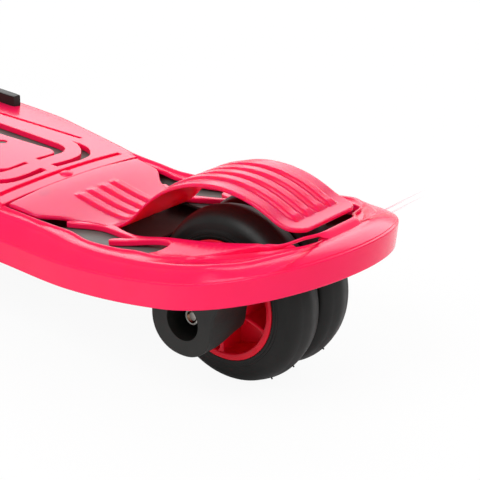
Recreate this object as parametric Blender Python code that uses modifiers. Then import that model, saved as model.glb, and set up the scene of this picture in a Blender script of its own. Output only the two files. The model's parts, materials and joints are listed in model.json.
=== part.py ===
"""Three-wheel kick scooter: one steered front wheel and twin rear wheels under a hinged brake.

Metres, +Z up. The scooter drives towards -Y, +X is the rider's left, and the origin lies on
the ground below the middle of the scooter. The deck is modelled flat, as heights above the
lower edge of its skirt, and is then bent to the line that sweeps up over the rear wheels.
"""
import math

import bmesh
import bpy
from mathutils import Matrix, Vector

MM = 0.001
CLEARANCE = 0.35 * MM       # gap between pieces that seat on each other
BORE_CLEARANCE = 0.3 * MM   # radial gap between a bore and what runs in it
FLAT_ANGLE = 0.5            # degrees between neighbouring facets that count as one plane

# Wheels
REAR_WHEEL_RADIUS = 50.0 * MM
REAR_TYRE_WIDTH = 26.0 * MM
REAR_WHEEL_SPACING = 27.2 * MM      # between the middle planes of the twin wheels
FRONT_WHEEL_RADIUS = 55.0 * MM
FRONT_TYRE_WIDTH = 25.0 * MM
TYRE_DEPTH = 14.8 * MM              # from the tread to the rim
TYRE_SHOULDER = 5.2 * MM            # drop of the tread at its edges
RIM_LIP = 1.5 * MM                  # how far the hub stands out of the tyre
RIM_WALL = 4.2 * MM
SPOKE_COUNT = 5
SPOKE_WIDTH = 7.5 * MM
HUB_BOSS_RADIUS = 14.5 * MM
BEARING_OUTER_RADIUS = 11.0 * MM
BEARING_WIDTH = 7.0 * MM
AXLE_RADIUS = 4.0 * MM
SPACER_WALL = 2.0 * MM

# Scooter layout
WHEELBASE = 510.0 * MM
STEERING_TILT = math.radians(12.0)
REAR_OVERHANG = 76.0 * MM           # deck end behind the rear axle
NOSE_SETBACK = 72.0 * MM            # deck's front end behind the front axle
DECK_NOSE = NOSE_SETBACK - WHEELBASE

# Deck outline: half widths at distances from the rear axle, forward is negative
DECK_HALF_WIDTHS = (
    (0.0 * MM, 74.6 * MM),
    (-70.0 * MM, 73.3 * MM),
    (-140.0 * MM, 70.2 * MM),
    (-220.0 * MM, 86.0 * MM),
    (DECK_NOSE + 128.0 * MM, 88.5 * MM),
)
DECK_NOSE_FULLNESS = 2.3
DECK_BASE_DROP = 6.2 * MM           # lower edge of the skirt below the rear axle's height
DECK_PITCH = 0.02                   # the deck falls by this share towards the rear wheels
DECK_SWEEP_START = -140.0 * MM
DECK_SWEEP = 0.9                    # rise per square metre of distance behind that start

# Deck section, as heights above the skirt's lower edge and insets from the outline
SKIRT_HEIGHT = 15.0 * MM
SKIRT_FLARE = 0.8 * MM               # how far the skirt's top stands out of the outline
RIM_HEIGHT = 24.0 * MM              # crest of the rim beside the wheels
RIM_WIDTH = 15.5 * MM
RIM_RISE_START = -60.0 * MM         # from here forward the crest climbs to the platform
RIM_RISE_END = -160.0 * MM
RIM_STEP = 1.0 * MM                 # platform above the crest in front
RIM_BOTTOM = 12.4 * MM
PLATFORM_HEIGHT = 29.6 * MM
PLATFORM_THICKNESS = 4.0 * MM
SHELF_HEIGHT = 23.5 * MM
SHELF_THICKNESS = 3.5 * MM
LEAF_HOLE_BOTTOM = 19.2 * MM
SHELL_WALL = 3.0 * MM
DECK_STATIONS = 42
BEND_STEP = 27.0 * MM

# Openings in the deck
PARTING_LINE = -140.8 * MM          # front edge of the brake panel
PARTING_GAP = 0.7 * MM
GROOVE_LINE = -152.2 * MM
GROOVE_WIDTH = 4.0 * MM
GROOVE_DEPTH = 1.6 * MM
GROOVE_HALF_LENGTH = 52.0 * MM
SIDE_GROOVE = ((56.9 * MM, -190.5 * MM), (48.5 * MM, -330.0 * MM))    # outer edge, rear and front
SIDE_GROOVE_WIDTH = 2.4 * MM
STUD_LINE = -146.0 * MM
STUD_RADIUS = 3.4 * MM
STUD_HEIGHT = 1.3 * MM
SLOT_REAR = -159.2 * MM
SLOT_FRONT = DECK_NOSE + 73.2 * MM
SLOT_MIDDLE = (SLOT_REAR + SLOT_FRONT) / 2
SLOT_BRIDGE = 9.0 * MM
GRIP_HOLE_RADIUS = 3.0 * MM
GRIP_HOLE_X = 10.3 * MM
GRIP_HOLE_PITCH = 46.0 * MM


# Brake
BRAKE_THICKNESS = 3.5 * MM
BRAKE_HALF_WIDTH = 27.0 * MM
BRAKE_ARCH_RADIUS = 76.3 * MM
BRAKE_ARCH_CENTRE = (-1.8 * MM, -12.4 * MM)             # from the rear axle: along, up
BRAKE_TAIL_END = (46.5 * MM, 55.2 * MM)
BRAKE_RIB_SPACING = 10.0 * MM
BRAKE_RIB_RADIUS = 3.6 * MM
BRAKE_RIB_HEIGHT = 1.7 * MM
BRAKE_RIB_START = -122.0 * MM
BRAKE_RIB_END = 36.0 * MM
HINGE_LINE = -136.4 * MM
HINGE_DROP = 9.6 * MM               # pin below the brake panel's top
HINGE_PIN_RADIUS = 2.0 * MM
HINGE_KNUCKLE_RADIUS = 4.0 * MM
HINGE_KNUCKLE_X = 28.0 * MM
HINGE_KNUCKLE_WIDTH = 10.0 * MM
HINGE_LUG_X = 38.0 * MM
HINGE_LUG_WIDTH = 8.0 * MM
SPRING_WIRE = 0.6 * MM
SPRING_TURNS = 5

# Black underframe
TRAY_THICKNESS = 3.0 * MM
TRAY_INSET = 3.5 * MM
WHEEL_WELL_HALF_WIDTH = 31.0 * MM
WHEEL_WELL_FRONT = -64.0 * MM
WHEEL_WELL_REAR = 57.0 * MM
TRAY_FRONT = DECK_NOSE + 10.0 * MM
TRAY_RIB_X = 36.0 * MM
TRAY_RIB_HEIGHT = 9.0 * MM
TRAY_RIB_THICKNESS = 4.0 * MM
ARM_INNER_X = 32.0 * MM
ARM_OUTER_X = 60.4 * MM
ARM_RADIUS = 20.0 * MM
ARM_RECESS_RADIUS = 11.4 * MM
ARM_RECESS_DEPTH = 9.0 * MM
BOLT_HEAD_RADIUS = 6.6 * MM
BOLT_SOCKET_RADIUS = 3.2 * MM
SCREW_PLACES = (
    (52.0 * MM, -160.0 * MM),
    (60.0 * MM, SLOT_MIDDLE),
    (58.0 * MM, DECK_NOSE + 88.0 * MM),
)
SCREW_RADIUS = 2.0 * MM
SCREW_HEAD_RADIUS = 4.0 * MM
SCREW_BOSS_RADIUS = 5.0 * MM

# Neck, headset and steering, as distances along the steering axis from the front axle
HEAD_BOTTOM = 74.0 * MM
HEAD_LENGTH = 72.0 * MM
HEAD_RADIUS = 23.0 * MM
STEERER_RADIUS = 14.0 * MM
HEADSET_DEPTH = 8.0 * MM
HEADSET_RADIUS = 19.0 * MM
FORK_CROWN_HEIGHT = 10.0 * MM
FORK_CLEARANCE = 7.5 * MM
FORK_BLADE_THICKNESS = 6.0 * MM
FORK_BLADE_WIDTH = 24.0 * MM
COLUMN_LENGTH = 330.0 * MM
COLUMN_WALL = 2.6 * MM
BAR_TUBE_RADIUS = 13.6 * MM
BAR_WALL = 2.2 * MM
BAR_INSERT = 170.0 * MM             # how deep the bar tube stands in the column at rest
BAR_HEIGHT = 700.0 * MM
CROSSBAR_RADIUS = 11.0 * MM
CROSSBAR_HALF_LENGTH = 150.0 * MM
GRIP_RADIUS = 15.5 * MM
GRIP_LENGTH = 105.0 * MM
GRIP_END_WALL = 4.0 * MM
COLLAR_WALL = 6.0 * MM
COLLAR_HEIGHT = 30.0 * MM
LEVER_LENGTH = 48.0 * MM
COLLAR_WALL_START = DECK_NOSE + 169.5 * MM      # rear end of the black wall along the deck's edge
COLLAR_WALL_HEIGHT = 7.4 * MM       # above the platform
COLLAR_WALL_INSET = 11.5 * MM
COLLAR_WALL_WIDTH = 6.5 * MM
MUDGUARD_GAP = 3.5 * MM
MUDGUARD_THICKNESS = 2.2 * MM

REAR_AXLE_Y = (WHEELBASE + FRONT_WHEEL_RADIUS - REAR_OVERHANG - SKIRT_FLARE) / 2
REAR_AXLE_Z = REAR_WHEEL_RADIUS
FRONT_AXLE = Vector((0.0, REAR_AXLE_Y - WHEELBASE, FRONT_WHEEL_RADIUS))
STEERING_AXIS = Vector((0.0, math.sin(STEERING_TILT), math.cos(STEERING_TILT)))
STEERING_ROTATION = Matrix.Rotation(-STEERING_TILT, 4, 'X')
DECK_BASE_Z = REAR_AXLE_Z - DECK_BASE_DROP
TRAY_TOP = RIM_BOTTOM - CLEARANCE


def clear_scene():
    for old in list(bpy.data.objects):
        bpy.data.objects.remove(old, do_unlink=True)


def make_material(name, colour, roughness, metallic=0.0):
    material = bpy.data.materials.new(name)
    material.use_nodes = True
    shader = material.node_tree.nodes["Principled BSDF"]
    shader.inputs["Base Color"].default_value = (*colour, 1.0)
    shader.inputs["Roughness"].default_value = roughness
    shader.inputs["Metallic"].default_value = metallic
    material.diffuse_color = (*colour, 1.0)
    return material


def link(name, mesh, material=None):
    obj = bpy.data.objects.new(name, mesh)
    PARTS.objects.link(obj)
    if material:
        obj.data.materials.clear()
        obj.data.materials.append(material)
    return obj


def baked(obj):
    """Replace an object by a mesh of what its curve or modifiers make, welded and closed."""
    bpy.context.view_layer.update()
    graph = bpy.context.evaluated_depsgraph_get()
    mesh = bpy.data.meshes.new_from_object(obj.evaluated_get(graph))
    mesh.transform(obj.matrix_world)
    name = obj.name
    bpy.data.objects.remove(obj, do_unlink=True)
    body = bmesh.new()
    body.from_mesh(mesh)
    bmesh.ops.remove_doubles(body, verts=body.verts, dist=0.002 * MM)
    bmesh.ops.dissolve_degenerate(body, edges=body.edges, dist=0.001 * MM)
    bmesh.ops.recalc_face_normals(body, faces=body.faces)
    body.to_mesh(mesh)
    body.free()
    mesh.materials.clear()
    return link(name, mesh)


def merge_flats(mesh):
    """Merge faces that lie in one plane, so that cuts leave no needless facets."""
    body = bmesh.new()
    body.from_mesh(mesh)
    bmesh.ops.triangulate(body, faces=body.faces)
    bmesh.ops.dissolve_limit(body, angle_limit=math.radians(FLAT_ANGLE), verts=body.verts,
                             edges=body.edges)
    bmesh.ops.triangulate(body, faces=body.faces)
    body.to_mesh(mesh)
    body.free()


def finish(obj, material, smooth_angle=35.0):
    merge_flats(obj.data)
    obj.data.materials.clear()
    obj.data.materials.append(material)
    obj.data.shade_smooth()
    obj.data.set_sharp_from_angle(angle=math.radians(smooth_angle))
    return obj


def boolean(obj, other, operation):
    modifier = obj.modifiers.new(operation.title(), 'BOOLEAN')
    modifier.operation = operation
    modifier.solver = 'EXACT'
    modifier.object = other
    result = baked(obj)
    bpy.data.objects.remove(other, do_unlink=True)
    return result


def cut(obj, *cutters):
    for cutter in cutters:
        obj = boolean(obj, cutter, 'DIFFERENCE')
    return obj


def join(obj, *others):
    for other in others:
        obj = boolean(obj, other, 'UNION')
    return obj


def move(obj, matrix):
    obj.data.transform(matrix)
    return obj


def plate(name, loops, bottom, top):
    """A flat outline, with holes where loops lie inside the first, between two heights."""
    curve = bpy.data.curves.new(name, 'CURVE')
    curve.dimensions = '2D'
    curve.fill_mode = 'BOTH'
    curve.extrude = (top - bottom) / 2
    for loop in loops:
        spline = curve.splines.new('POLY')
        spline.points.add(len(loop) - 1)
        for point, (x, y) in zip(spline.points, loop):
            point.co = (x, y, 0.0, 1.0)
        spline.use_cyclic_u = True
    obj = link(name, curve)
    obj.location.z = (top + bottom) / 2
    return baked(obj)


def turned(name, profile, steps, ring=False, matrix=None):
    """Revolve a profile of (radius, height) points about Z; a ring's profile is closed."""
    mesh = bpy.data.meshes.new(name)
    count = len(profile)
    edges = [(i, i + 1) for i in range(count - 1)]
    if ring:
        edges.append((count - 1, 0))
    mesh.from_pydata([(radius, 0.0, height) for radius, height in profile], edges, [])
    obj = link(name, mesh)
    screw = obj.modifiers.new("Screw", 'SCREW')
    screw.steps = steps
    screw.render_steps = steps
    screw.use_merge_vertices = True
    screw.merge_threshold = 0.001 * MM
    obj = baked(obj)
    return move(obj, matrix) if matrix else obj


def cylinder(name, radius, bottom, top, steps=24, matrix=None, bevel=0.0):
    profile = [(0.0, top), (radius, top), (radius, bottom), (0.0, bottom)]
    if bevel:
        profile = [(0.0, top), (radius - bevel, top), (radius, top - bevel), (radius, bottom + bevel),
                   (radius - bevel, bottom), (0.0, bottom)]
    return turned(name, profile, steps, matrix=matrix)


def bore(radius, bottom, top, steps, matrix=None):
    """Cutter whose flats, and not its corners, lie at the radius, so that a shaft clears them."""
    return cylinder("bore", radius / math.cos(math.pi / steps), bottom, top, steps, matrix)


def sleeve(name, inner, outer, bottom, top, steps=24, matrix=None):
    """A tube whose bore's flats lie at the inner radius."""
    inner = inner / math.cos(math.pi / steps)
    profile = [(outer, top), (outer, bottom), (inner, bottom), (inner, top)]
    return turned(name, profile, steps, ring=True, matrix=matrix)


def block(name, low, high, bevel=0.0):
    body = bmesh.new()
    bmesh.ops.create_cube(body, size=1.0)
    low, high = Vector(low), Vector(high)
    for vertex in body.verts:
        vertex.co = Vector((low[i] + (vertex.co[i] + 0.5) * (high[i] - low[i]) for i in range(3)))
    if bevel:
        bmesh.ops.bevel(body, geom=body.edges, offset=bevel, segments=2, affect='EDGES', profile=0.5)
    mesh = bpy.data.meshes.new(name)
    body.to_mesh(mesh)
    body.free()
    return link(name, mesh)


def tube_along(name, points, radii, sides=4, scale=(1.0, 1.0, 1.0), smooth=True):
    """A tube along points, with a radius at each."""
    curve = bpy.data.curves.new(name, 'CURVE')
    curve.dimensions = '3D'
    curve.bevel_depth = 1.0
    curve.bevel_resolution = sides
    curve.use_fill_caps = True
    curve.resolution_u = 4
    if smooth:
        spline = curve.splines.new('BEZIER')
        spline.bezier_points.add(len(points) - 1)
        for point, place, radius in zip(spline.bezier_points, points, radii):
            point.co = place
            point.radius = radius
            point.handle_left_type = 'AUTO'
            point.handle_right_type = 'AUTO'
    else:
        spline = curve.splines.new('POLY')
        spline.points.add(len(points) - 1)
        for point, place, radius in zip(spline.points, points, radii):
            point.co = (*place, 1.0)
            point.radius = radius
    obj = link(name, curve)
    obj.scale = scale
    return baked(obj)


def across(x, y, z):
    """Matrix that lays a piece turned about Z along X, its base at the given point."""
    return Matrix.Translation((x, y, z)) @ Matrix.Rotation(math.radians(90), 4, 'Y')


def on_steering(distance):
    """Matrix of a frame at a distance up the steering axis, its Z along the axis."""
    return Matrix.Translation(FRONT_AXLE + STEERING_AXIS * distance) @ STEERING_ROTATION


def side_half_width(along):
    """Smooth curve through the deck's half widths, flat at the rear axle and at the front."""
    stations = DECK_HALF_WIDTHS
    slopes = [0.0]
    for before, after in zip(stations[:-2], stations[2:]):
        slopes.append((after[1] - before[1]) / (after[0] - before[0]))
    slopes.append(0.0)
    for i in range(len(stations) - 1):
        (y0, w0), (y1, w1) = stations[i], stations[i + 1]
        if y1 <= along <= y0:
            t = (along - y0) / (y1 - y0)
            run = y1 - y0
            return (w0 * (2 * t ** 3 - 3 * t ** 2 + 1) + w1 * (3 * t ** 2 - 2 * t ** 3)
                    + slopes[i] * run * (t ** 3 - 2 * t ** 2 + t)
                    + slopes[i + 1] * run * (t ** 3 - t ** 2))
    return stations[-1][1]


def deck_outline(stations=DECK_STATIONS):
    """Closed outline of the deck from above, anticlockwise, y from the rear axle."""
    rear_steps = stations // 6
    side_steps = stations // 6
    nose_steps = stations // 6
    widest = DECK_HALF_WIDTHS[-1]
    half = []
    for i in range(nose_steps):
        angle = math.pi / 2 * (1 - i / nose_steps)
        x = widest[1] * math.cos(angle) ** (2 / DECK_NOSE_FULLNESS)
        y = widest[0] - (widest[0] - DECK_NOSE) * math.sin(angle) ** (2 / DECK_NOSE_FULLNESS)
        half.append((x, y))
    for i in range(side_steps):
        y = widest[0] * (1 - i / side_steps)
        half.append((side_half_width(y), y))
    for i in range(rear_steps + 1):
        angle = math.pi / 2 * i / rear_steps
        half.append((DECK_HALF_WIDTHS[0][1] * math.cos(angle), REAR_OVERHANG * math.sin(angle)))
    half[0] = (0.0, half[0][1])
    half[-1] = (0.0, half[-1][1])
    mirrored = [(-x, y) for x, y in half[-2:0:-1]]
    return half + mirrored


def outline_normals(stations=DECK_STATIONS):
    """The outline's points, each with its inward normal."""
    outline = deck_outline(stations)
    count = len(outline)
    result = []
    for i, (x, y) in enumerate(outline):
        before, after = outline[i - 1], outline[(i + 1) % count]
        tangent = Vector((after[0] - before[0], after[1] - before[1])).normalized()
        result.append((x, y, -tangent.y, tangent.x))
    return result


def inset_outline(inset, stations=DECK_STATIONS):
    return [(x + nx * inset, y + ny * inset) for x, y, nx, ny in outline_normals(stations)]


def deck_rise(along):
    """Height of the skirt's lower edge above the ground at a distance from the rear axle."""
    behind = max(along - DECK_SWEEP_START, 0.0)
    return DECK_BASE_Z - DECK_PITCH * along + DECK_SWEEP * behind ** 2


def bend(obj):
    """Cut a flat deck piece into strips and bend it to the deck's line, in place."""
    body = bmesh.new()
    body.from_mesh(obj.data)
    along = DECK_SWEEP_START
    while along < REAR_OVERHANG:
        geometry = body.verts[:] + body.edges[:] + body.faces[:]
        bmesh.ops.bisect_plane(body, geom=geometry, dist=0.001 * MM,
                               plane_co=(0.0, along, 0.0), plane_no=(0.0, 1.0, 0.0))
        along += BEND_STEP
    bmesh.ops.triangulate(body, faces=body.faces)
    for vertex in body.verts:
        vertex.co.z += deck_rise(vertex.co.y)
        vertex.co.y += REAR_AXLE_Y
    bmesh.ops.remove_doubles(body, verts=body.verts, dist=0.002 * MM)
    bmesh.ops.dissolve_degenerate(body, edges=body.edges, dist=0.001 * MM)
    body.to_mesh(obj.data)
    body.free()
    return obj


def rim_profile(along):
    """Section of the rim at a place along the deck: insets and heights, outside, then inside."""
    share = min(max((RIM_RISE_START - along) / (RIM_RISE_START - RIM_RISE_END), 0.0), 1.0)
    share = share * share * (3 - 2 * share)
    wall = SHELL_WALL
    crest = RIM_HEIGHT + (PLATFORM_HEIGHT - RIM_STEP - RIM_HEIGHT) * share
    shoulder = (4.5 + 4.0 * share) * MM
    outside = [
        (0.0, 0.0),
        (-SKIRT_FLARE, SKIRT_HEIGHT - 0.8 * MM),
        (0.8 * MM, SKIRT_HEIGHT + 0.4 * MM),
        (shoulder, crest - 1.2 * MM),
        (shoulder + 3.2 * MM, crest),
        (RIM_WIDTH, crest - 2.6 * MM * (1 - share)),
        (RIM_WIDTH, RIM_BOTTOM),
    ]
    inside = [
        (RIM_WIDTH - wall, RIM_BOTTOM),
        (RIM_WIDTH - wall, crest - 5.2 * MM),
        (wall, SKIRT_HEIGHT),
        (wall, 0.0),
    ]
    return outside + inside


def rim_ring(name):
    """Loft the rim's section round the deck's outline."""
    verts = []
    stations = outline_normals()
    for x, y, normal_x, normal_y in stations:
        for inset, height in rim_profile(y):
            verts.append((x + normal_x * inset, y + normal_y * inset, height))
    count = len(stations)
    depth = len(verts) // count
    faces = []
    for i in range(count):
        for j in range(depth):
            a = i * depth + j
            b = i * depth + (j + 1) % depth
            c = ((i + 1) % count) * depth + (j + 1) % depth
            d = ((i + 1) % count) * depth + j
            faces.append((a, b, c, d))
    mesh = bpy.data.meshes.new(name)
    mesh.from_pydata(verts, [], faces)
    return baked(link(name, mesh))


def clipped(outline, line, rear):
    """The part of an outline behind (rear) or ahead of a line across the deck."""
    kept = []
    count = len(outline)
    for i, (x, y) in enumerate(outline):
        x1, y1 = outline[(i + 1) % count]
        inside = (y >= line) == rear
        if inside:
            kept.append((x, y))
        if (y < line) != (y1 < line):
            t = (line - y) / (y1 - y)
            kept.append((x + t * (x1 - x), line))
    return kept


def both_sides(half):
    """Close an outline given for the +X side, from the rear to the front, by its mirror."""
    return half + [(-x, y) for x, y in reversed(half) if x > 0.01 * MM]


def wheel_opening():
    """Opening round the brake panel and the twin wheels, with two claws and a barb each side."""
    edge = [(-143.5, 62.0), (-32, 62.0), (-25, 55.0), (-21, 49.5)]
    short_claw = [(-27, 47.2), (-36, 47.0), (-46, 49.4), (-56, 53.2), (-59.5, 52.6), (-60, 50.4),
                  (-56, 48.2), (-49, 45.4)]
    long_claw = [(-54, 42.6), (-63, 41.2), (-75, 40.8), (-84, 42.0), (-92, 44.6), (-99, 47.2),
                 (-102, 46.4), (-102, 44.0), (-97, 41.4), (-91, 39.0), (-84.5, 37.6)]
    barb = [(-88, 35.6), (-80, 35.0), (-70, 35.6), (-60, 37.4)]
    lip = [(-45, 37.0), (-20, 37.8), (20, 38.0), (33, 37.0), (41, 35.4), (46, 32.5), (48.8, 28.6),
           (48.8, 20.0), (51, 17.5), (53.5, 14.5), (54, 8.0), (54, 0.0)]
    half = [(x * MM, y * MM) for y, x in edge + short_claw + long_claw + barb + lip]
    return both_sides(list(reversed(half)))


def leaf_hole(side):
    outline = [(36.0, 47.4), (32.5, 50.2), (28.0, 51.6), (21.5, 51.6), (19.6, 53.6), (21.0, 56.0),
               (27.0, 56.2), (33.0, 53.0), (36.5, 49.6)]
    return [(side * x * MM, y * MM) for x, y in outline]


def slot_loops():
    """Outlines of the through slots: corner slots, and side slots round the inner panel."""
    bridge = SLOT_BRIDGE / 2 / MM
    middle = SLOT_MIDDLE / MM + bridge
    corner = [(bridge, -159.2), (24.0, -158.6), (32.6, -160.5), (38.5, -164.6), (43.6, -172.0),
              (45.6, -180.0), (45.5, -188.0), (44.6, -182.5), (39.4, -174.2), (32.2, -167.1),
              (25.3, -164.0), (bridge, -164.4)]
    side_slot = [(bridge, -175.6), (22.5, -175.9), (28.5, -177.9), (32.4, -182.0), (34.4, -188.6),
                 (34.4, middle), (19.0, middle + 0.8), (20.0, -229.0), (22.8, -195.0), (23.6, -186.0),
                 (21.6, -180.6), (18.0, -178.2), (bridge, -178.8)]
    loops = []
    for shape in (corner, side_slot):
        for side in (1, -1):
            loop = [(side * x * MM, y * MM) for x, y in shape]
            loops.append(loop)
            loops.append([(x, 2 * SLOT_MIDDLE - y) for x, y in loop])
    return loops


def grip_holes():
    loops = []
    for row in (-1, 0, 1):
        for side in (1, -1):
            loop = []
            for i in range(8):
                angle = math.pi * i / 4
                loop.append((side * GRIP_HOLE_X + GRIP_HOLE_RADIUS * math.cos(angle),
                             SLOT_MIDDLE + row * GRIP_HOLE_PITCH + GRIP_HOLE_RADIUS * math.sin(angle)))
            loops.append(loop)
    return loops


def side_groove(side):
    (rear_x, rear_y), (front_x, front_y) = SIDE_GROOVE
    return [(side * rear_x, rear_y), (side * (rear_x - SIDE_GROOVE_WIDTH), rear_y),
            (side * (front_x - SIDE_GROOVE_WIDTH), front_y), (side * front_x, front_y)]


def screw_places():
    for x, y in SCREW_PLACES:
        yield x, y
        yield -x, y


def make_deck_shell():
    shell = rim_ring("deck_shell")
    inside = inset_outline(RIM_WIDTH - 1.2 * MM)
    low = PLATFORM_HEIGHT - PLATFORM_THICKNESS
    outline = clipped(inside, PARTING_LINE - PARTING_GAP / 2, rear=False)
    platform = plate("platform", [outline] + slot_loops() + grip_holes(), low - 6.0 * MM, PLATFORM_HEIGHT)
    well = clipped(inset_outline(RIM_WIDTH + SHELL_WALL), PARTING_LINE - SHELL_WALL, rear=False)
    platform = cut(platform, plate("underside", [well], low - 9 * MM, low))
    shelf_low = SHELF_HEIGHT - SHELF_THICKNESS
    shelf = plate("shelf", [clipped(inside, PARTING_LINE - 4 * MM, rear=True)], shelf_low, SHELF_HEIGHT)
    shelf = cut(shelf, plate("opening", [wheel_opening()], shelf_low - MM, SHELF_HEIGHT + MM))
    shell = join(shell, platform, shelf)
    for side in (1, -1):
        shell = cut(shell, plate("leaf", [leaf_hole(side)], LEAF_HOLE_BOTTOM, SHELF_HEIGHT + MM))
    for x, y in screw_places():
        shell = join(shell, cylinder("boss", SCREW_BOSS_RADIUS, RIM_BOTTOM, low + MM, 8,
                                     Matrix.Translation((x, y, 0.0))))
    for x, y in screw_places():
        shell = cut(shell, bore(SCREW_RADIUS + BORE_CLEARANCE, RIM_BOTTOM - MM, low, 8,
                                    Matrix.Translation((x, y, 0.0))))
    groove_low = PLATFORM_HEIGHT - GROOVE_DEPTH
    half = GROOVE_WIDTH / 2
    groove = block("groove", (-GROOVE_HALF_LENGTH, GROOVE_LINE - half, groove_low),
                   (GROOVE_HALF_LENGTH, GROOVE_LINE + half, PLATFORM_HEIGHT + MM))
    shell = cut(shell, groove)
    for side in (1, -1):
        shell = cut(shell, plate("side_groove", [side_groove(side)], groove_low, PLATFORM_HEIGHT + MM))
    dome = [(0.0, STUD_HEIGHT), (STUD_RADIUS * 0.6, STUD_HEIGHT * 0.8), (STUD_RADIUS, -0.3 * MM),
            (STUD_RADIUS * 0.9, -GROOVE_DEPTH), (0.0, -GROOVE_DEPTH)]
    shell = join(shell, turned("stud", dome, 8,
                               matrix=Matrix.Translation((0.0, STUD_LINE, PLATFORM_HEIGHT))))
    return finish(bend(shell), RED)


def arm_outline():
    """Side view of an axle arm, y and z from the rear axle, its top on the tray's middle."""
    points = []
    for i in range(9):
        angle = math.pi + math.pi * i / 8
        points.append((ARM_RADIUS * math.cos(angle), ARM_RADIUS * math.sin(angle)))
    middle = TRAY_TOP - TRAY_THICKNESS / 2 - REAR_AXLE_Z
    for i in range(3):
        y = ARM_RADIUS * (1 - i)
        points.append((y, deck_rise(y) + middle))
    return points


def make_arm(side):
    arm = plate("arm", [arm_outline()], 0.0, ARM_OUTER_X - ARM_INNER_X)
    turn = Matrix(((0, 0, side, 0), (1, 0, 0, 0), (0, 1, 0, 0), (0, 0, 0, 1)))
    place = Matrix.Translation((side * ARM_INNER_X, REAR_AXLE_Y, REAR_AXLE_Z))
    move(arm, place @ turn)
    if side < 0:
        arm.data.flip_normals()
    return arm


def make_underframe():
    bottom = TRAY_TOP - TRAY_THICKNESS
    outline = clipped(inset_outline(TRAY_INSET), WHEEL_WELL_REAR, rear=False)
    outline = clipped(outline, TRAY_FRONT, rear=True)
    well_front, well_rear = WHEEL_WELL_FRONT, WHEEL_WELL_REAR + 5 * MM
    well = [(WHEEL_WELL_HALF_WIDTH, well_front), (WHEEL_WELL_HALF_WIDTH, well_rear),
            (-WHEEL_WELL_HALF_WIDTH, well_rear), (-WHEEL_WELL_HALF_WIDTH, well_front)]
    tray = plate("underframe", [outline], bottom, TRAY_TOP)
    tray = cut(tray, plate("well", [well], bottom - MM, TRAY_TOP + MM))
    half = TRAY_RIB_THICKNESS / 2
    for side in (1, -1):
        x = side * TRAY_RIB_X
        tray = join(tray, block("rib", (x - half, TRAY_FRONT + 20 * MM, bottom - TRAY_RIB_HEIGHT),
                                (x + half, -ARM_RADIUS, bottom + MM)))
    for x, y in screw_places():
        tray = cut(tray, bore(SCREW_RADIUS + BORE_CLEARANCE, bottom - MM, TRAY_TOP + MM, 8,
                                  Matrix.Translation((x, y, 0.0))))
    tray = bend(tray)
    tray = join(tray, make_arm(1), make_arm(-1))
    pin_y, pin_z = hinge_place()
    for side in (1, -1):
        start = side * HINGE_LUG_X - HINGE_LUG_WIDTH / 2
        radius = HINGE_KNUCKLE_RADIUS
        lug = cylinder("lug", radius, 0.0, HINGE_LUG_WIDTH, 10, across(start, pin_y, pin_z))
        foot = block("foot", (start, pin_y - radius, deck_rise(HINGE_LINE) + bottom + MM),
                     (start + HINGE_LUG_WIDTH, pin_y + radius, pin_z))
        tray = join(tray, join(lug, foot))
        tray = cut(tray, bore(HINGE_PIN_RADIUS + BORE_CLEARANCE, -MM, HINGE_LUG_WIDTH + MM,
                                  8, across(start, pin_y, pin_z)))
        inner, outer = ARM_INNER_X - MM, ARM_OUTER_X - ARM_RECESS_DEPTH
        tray = cut(tray, bore(AXLE_RADIUS + BORE_CLEARANCE, inner, outer + MM, 10,
                                  across_side(side)),
                   cylinder("recess", ARM_RECESS_RADIUS, outer, ARM_OUTER_X + MM, 16,
                            across_side(side)))
    return finish(tray, BLACK)


def across_side(side):
    """Matrix on the rear axle whose Z points out to the given side."""
    return (Matrix.Translation((0.0, REAR_AXLE_Y, REAR_AXLE_Z))
            @ Matrix.Rotation(math.radians(90 * side), 4, 'Y'))


def hinge_place():
    top = deck_rise(HINGE_LINE) + PLATFORM_HEIGHT
    return HINGE_LINE + REAR_AXLE_Y, top - HINGE_DROP


def brake_top(along):
    """Height of the brake's top above the rear axle: panel, dip, arch and flattened tail."""
    centre_y, centre_z = BRAKE_ARCH_CENTRE
    panel = deck_rise(PARTING_LINE) + PLATFORM_HEIGHT - REAR_AXLE_Z
    dip_end, arch_start, arch_end = -84.0 * MM, -61.0 * MM, 31.0 * MM
    dip = 5.6 * MM

    def arch(y):
        return centre_z + math.sqrt(BRAKE_ARCH_RADIUS ** 2 - (y - centre_y) ** 2)

    def slope(y):
        return -(y - centre_y) / (arch(y) - centre_z)

    if along <= dip_end:
        t = (along - PARTING_LINE) / (dip_end - PARTING_LINE)
        return panel - dip * (3 * t ** 2 - 2 * t ** 3)
    if along < arch_start:
        return hermite(along, dip_end, arch_start, panel - dip, arch(arch_start), 0.0, slope(arch_start))
    if along <= arch_end:
        return arch(along)
    end_y, end_z = BRAKE_TAIL_END
    return hermite(along, arch_end, end_y, arch(arch_end), end_z, slope(arch_end), 0.0)


def hermite(y, y0, y1, z0, z1, slope0, slope1):
    run = y1 - y0
    t = (y - y0) / run
    return (z0 * (2 * t ** 3 - 3 * t ** 2 + 1) + z1 * (3 * t ** 2 - 2 * t ** 3)
            + slope0 * run * (t ** 3 - 2 * t ** 2 + t) + slope1 * run * (t ** 3 - t ** 2))


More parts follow.
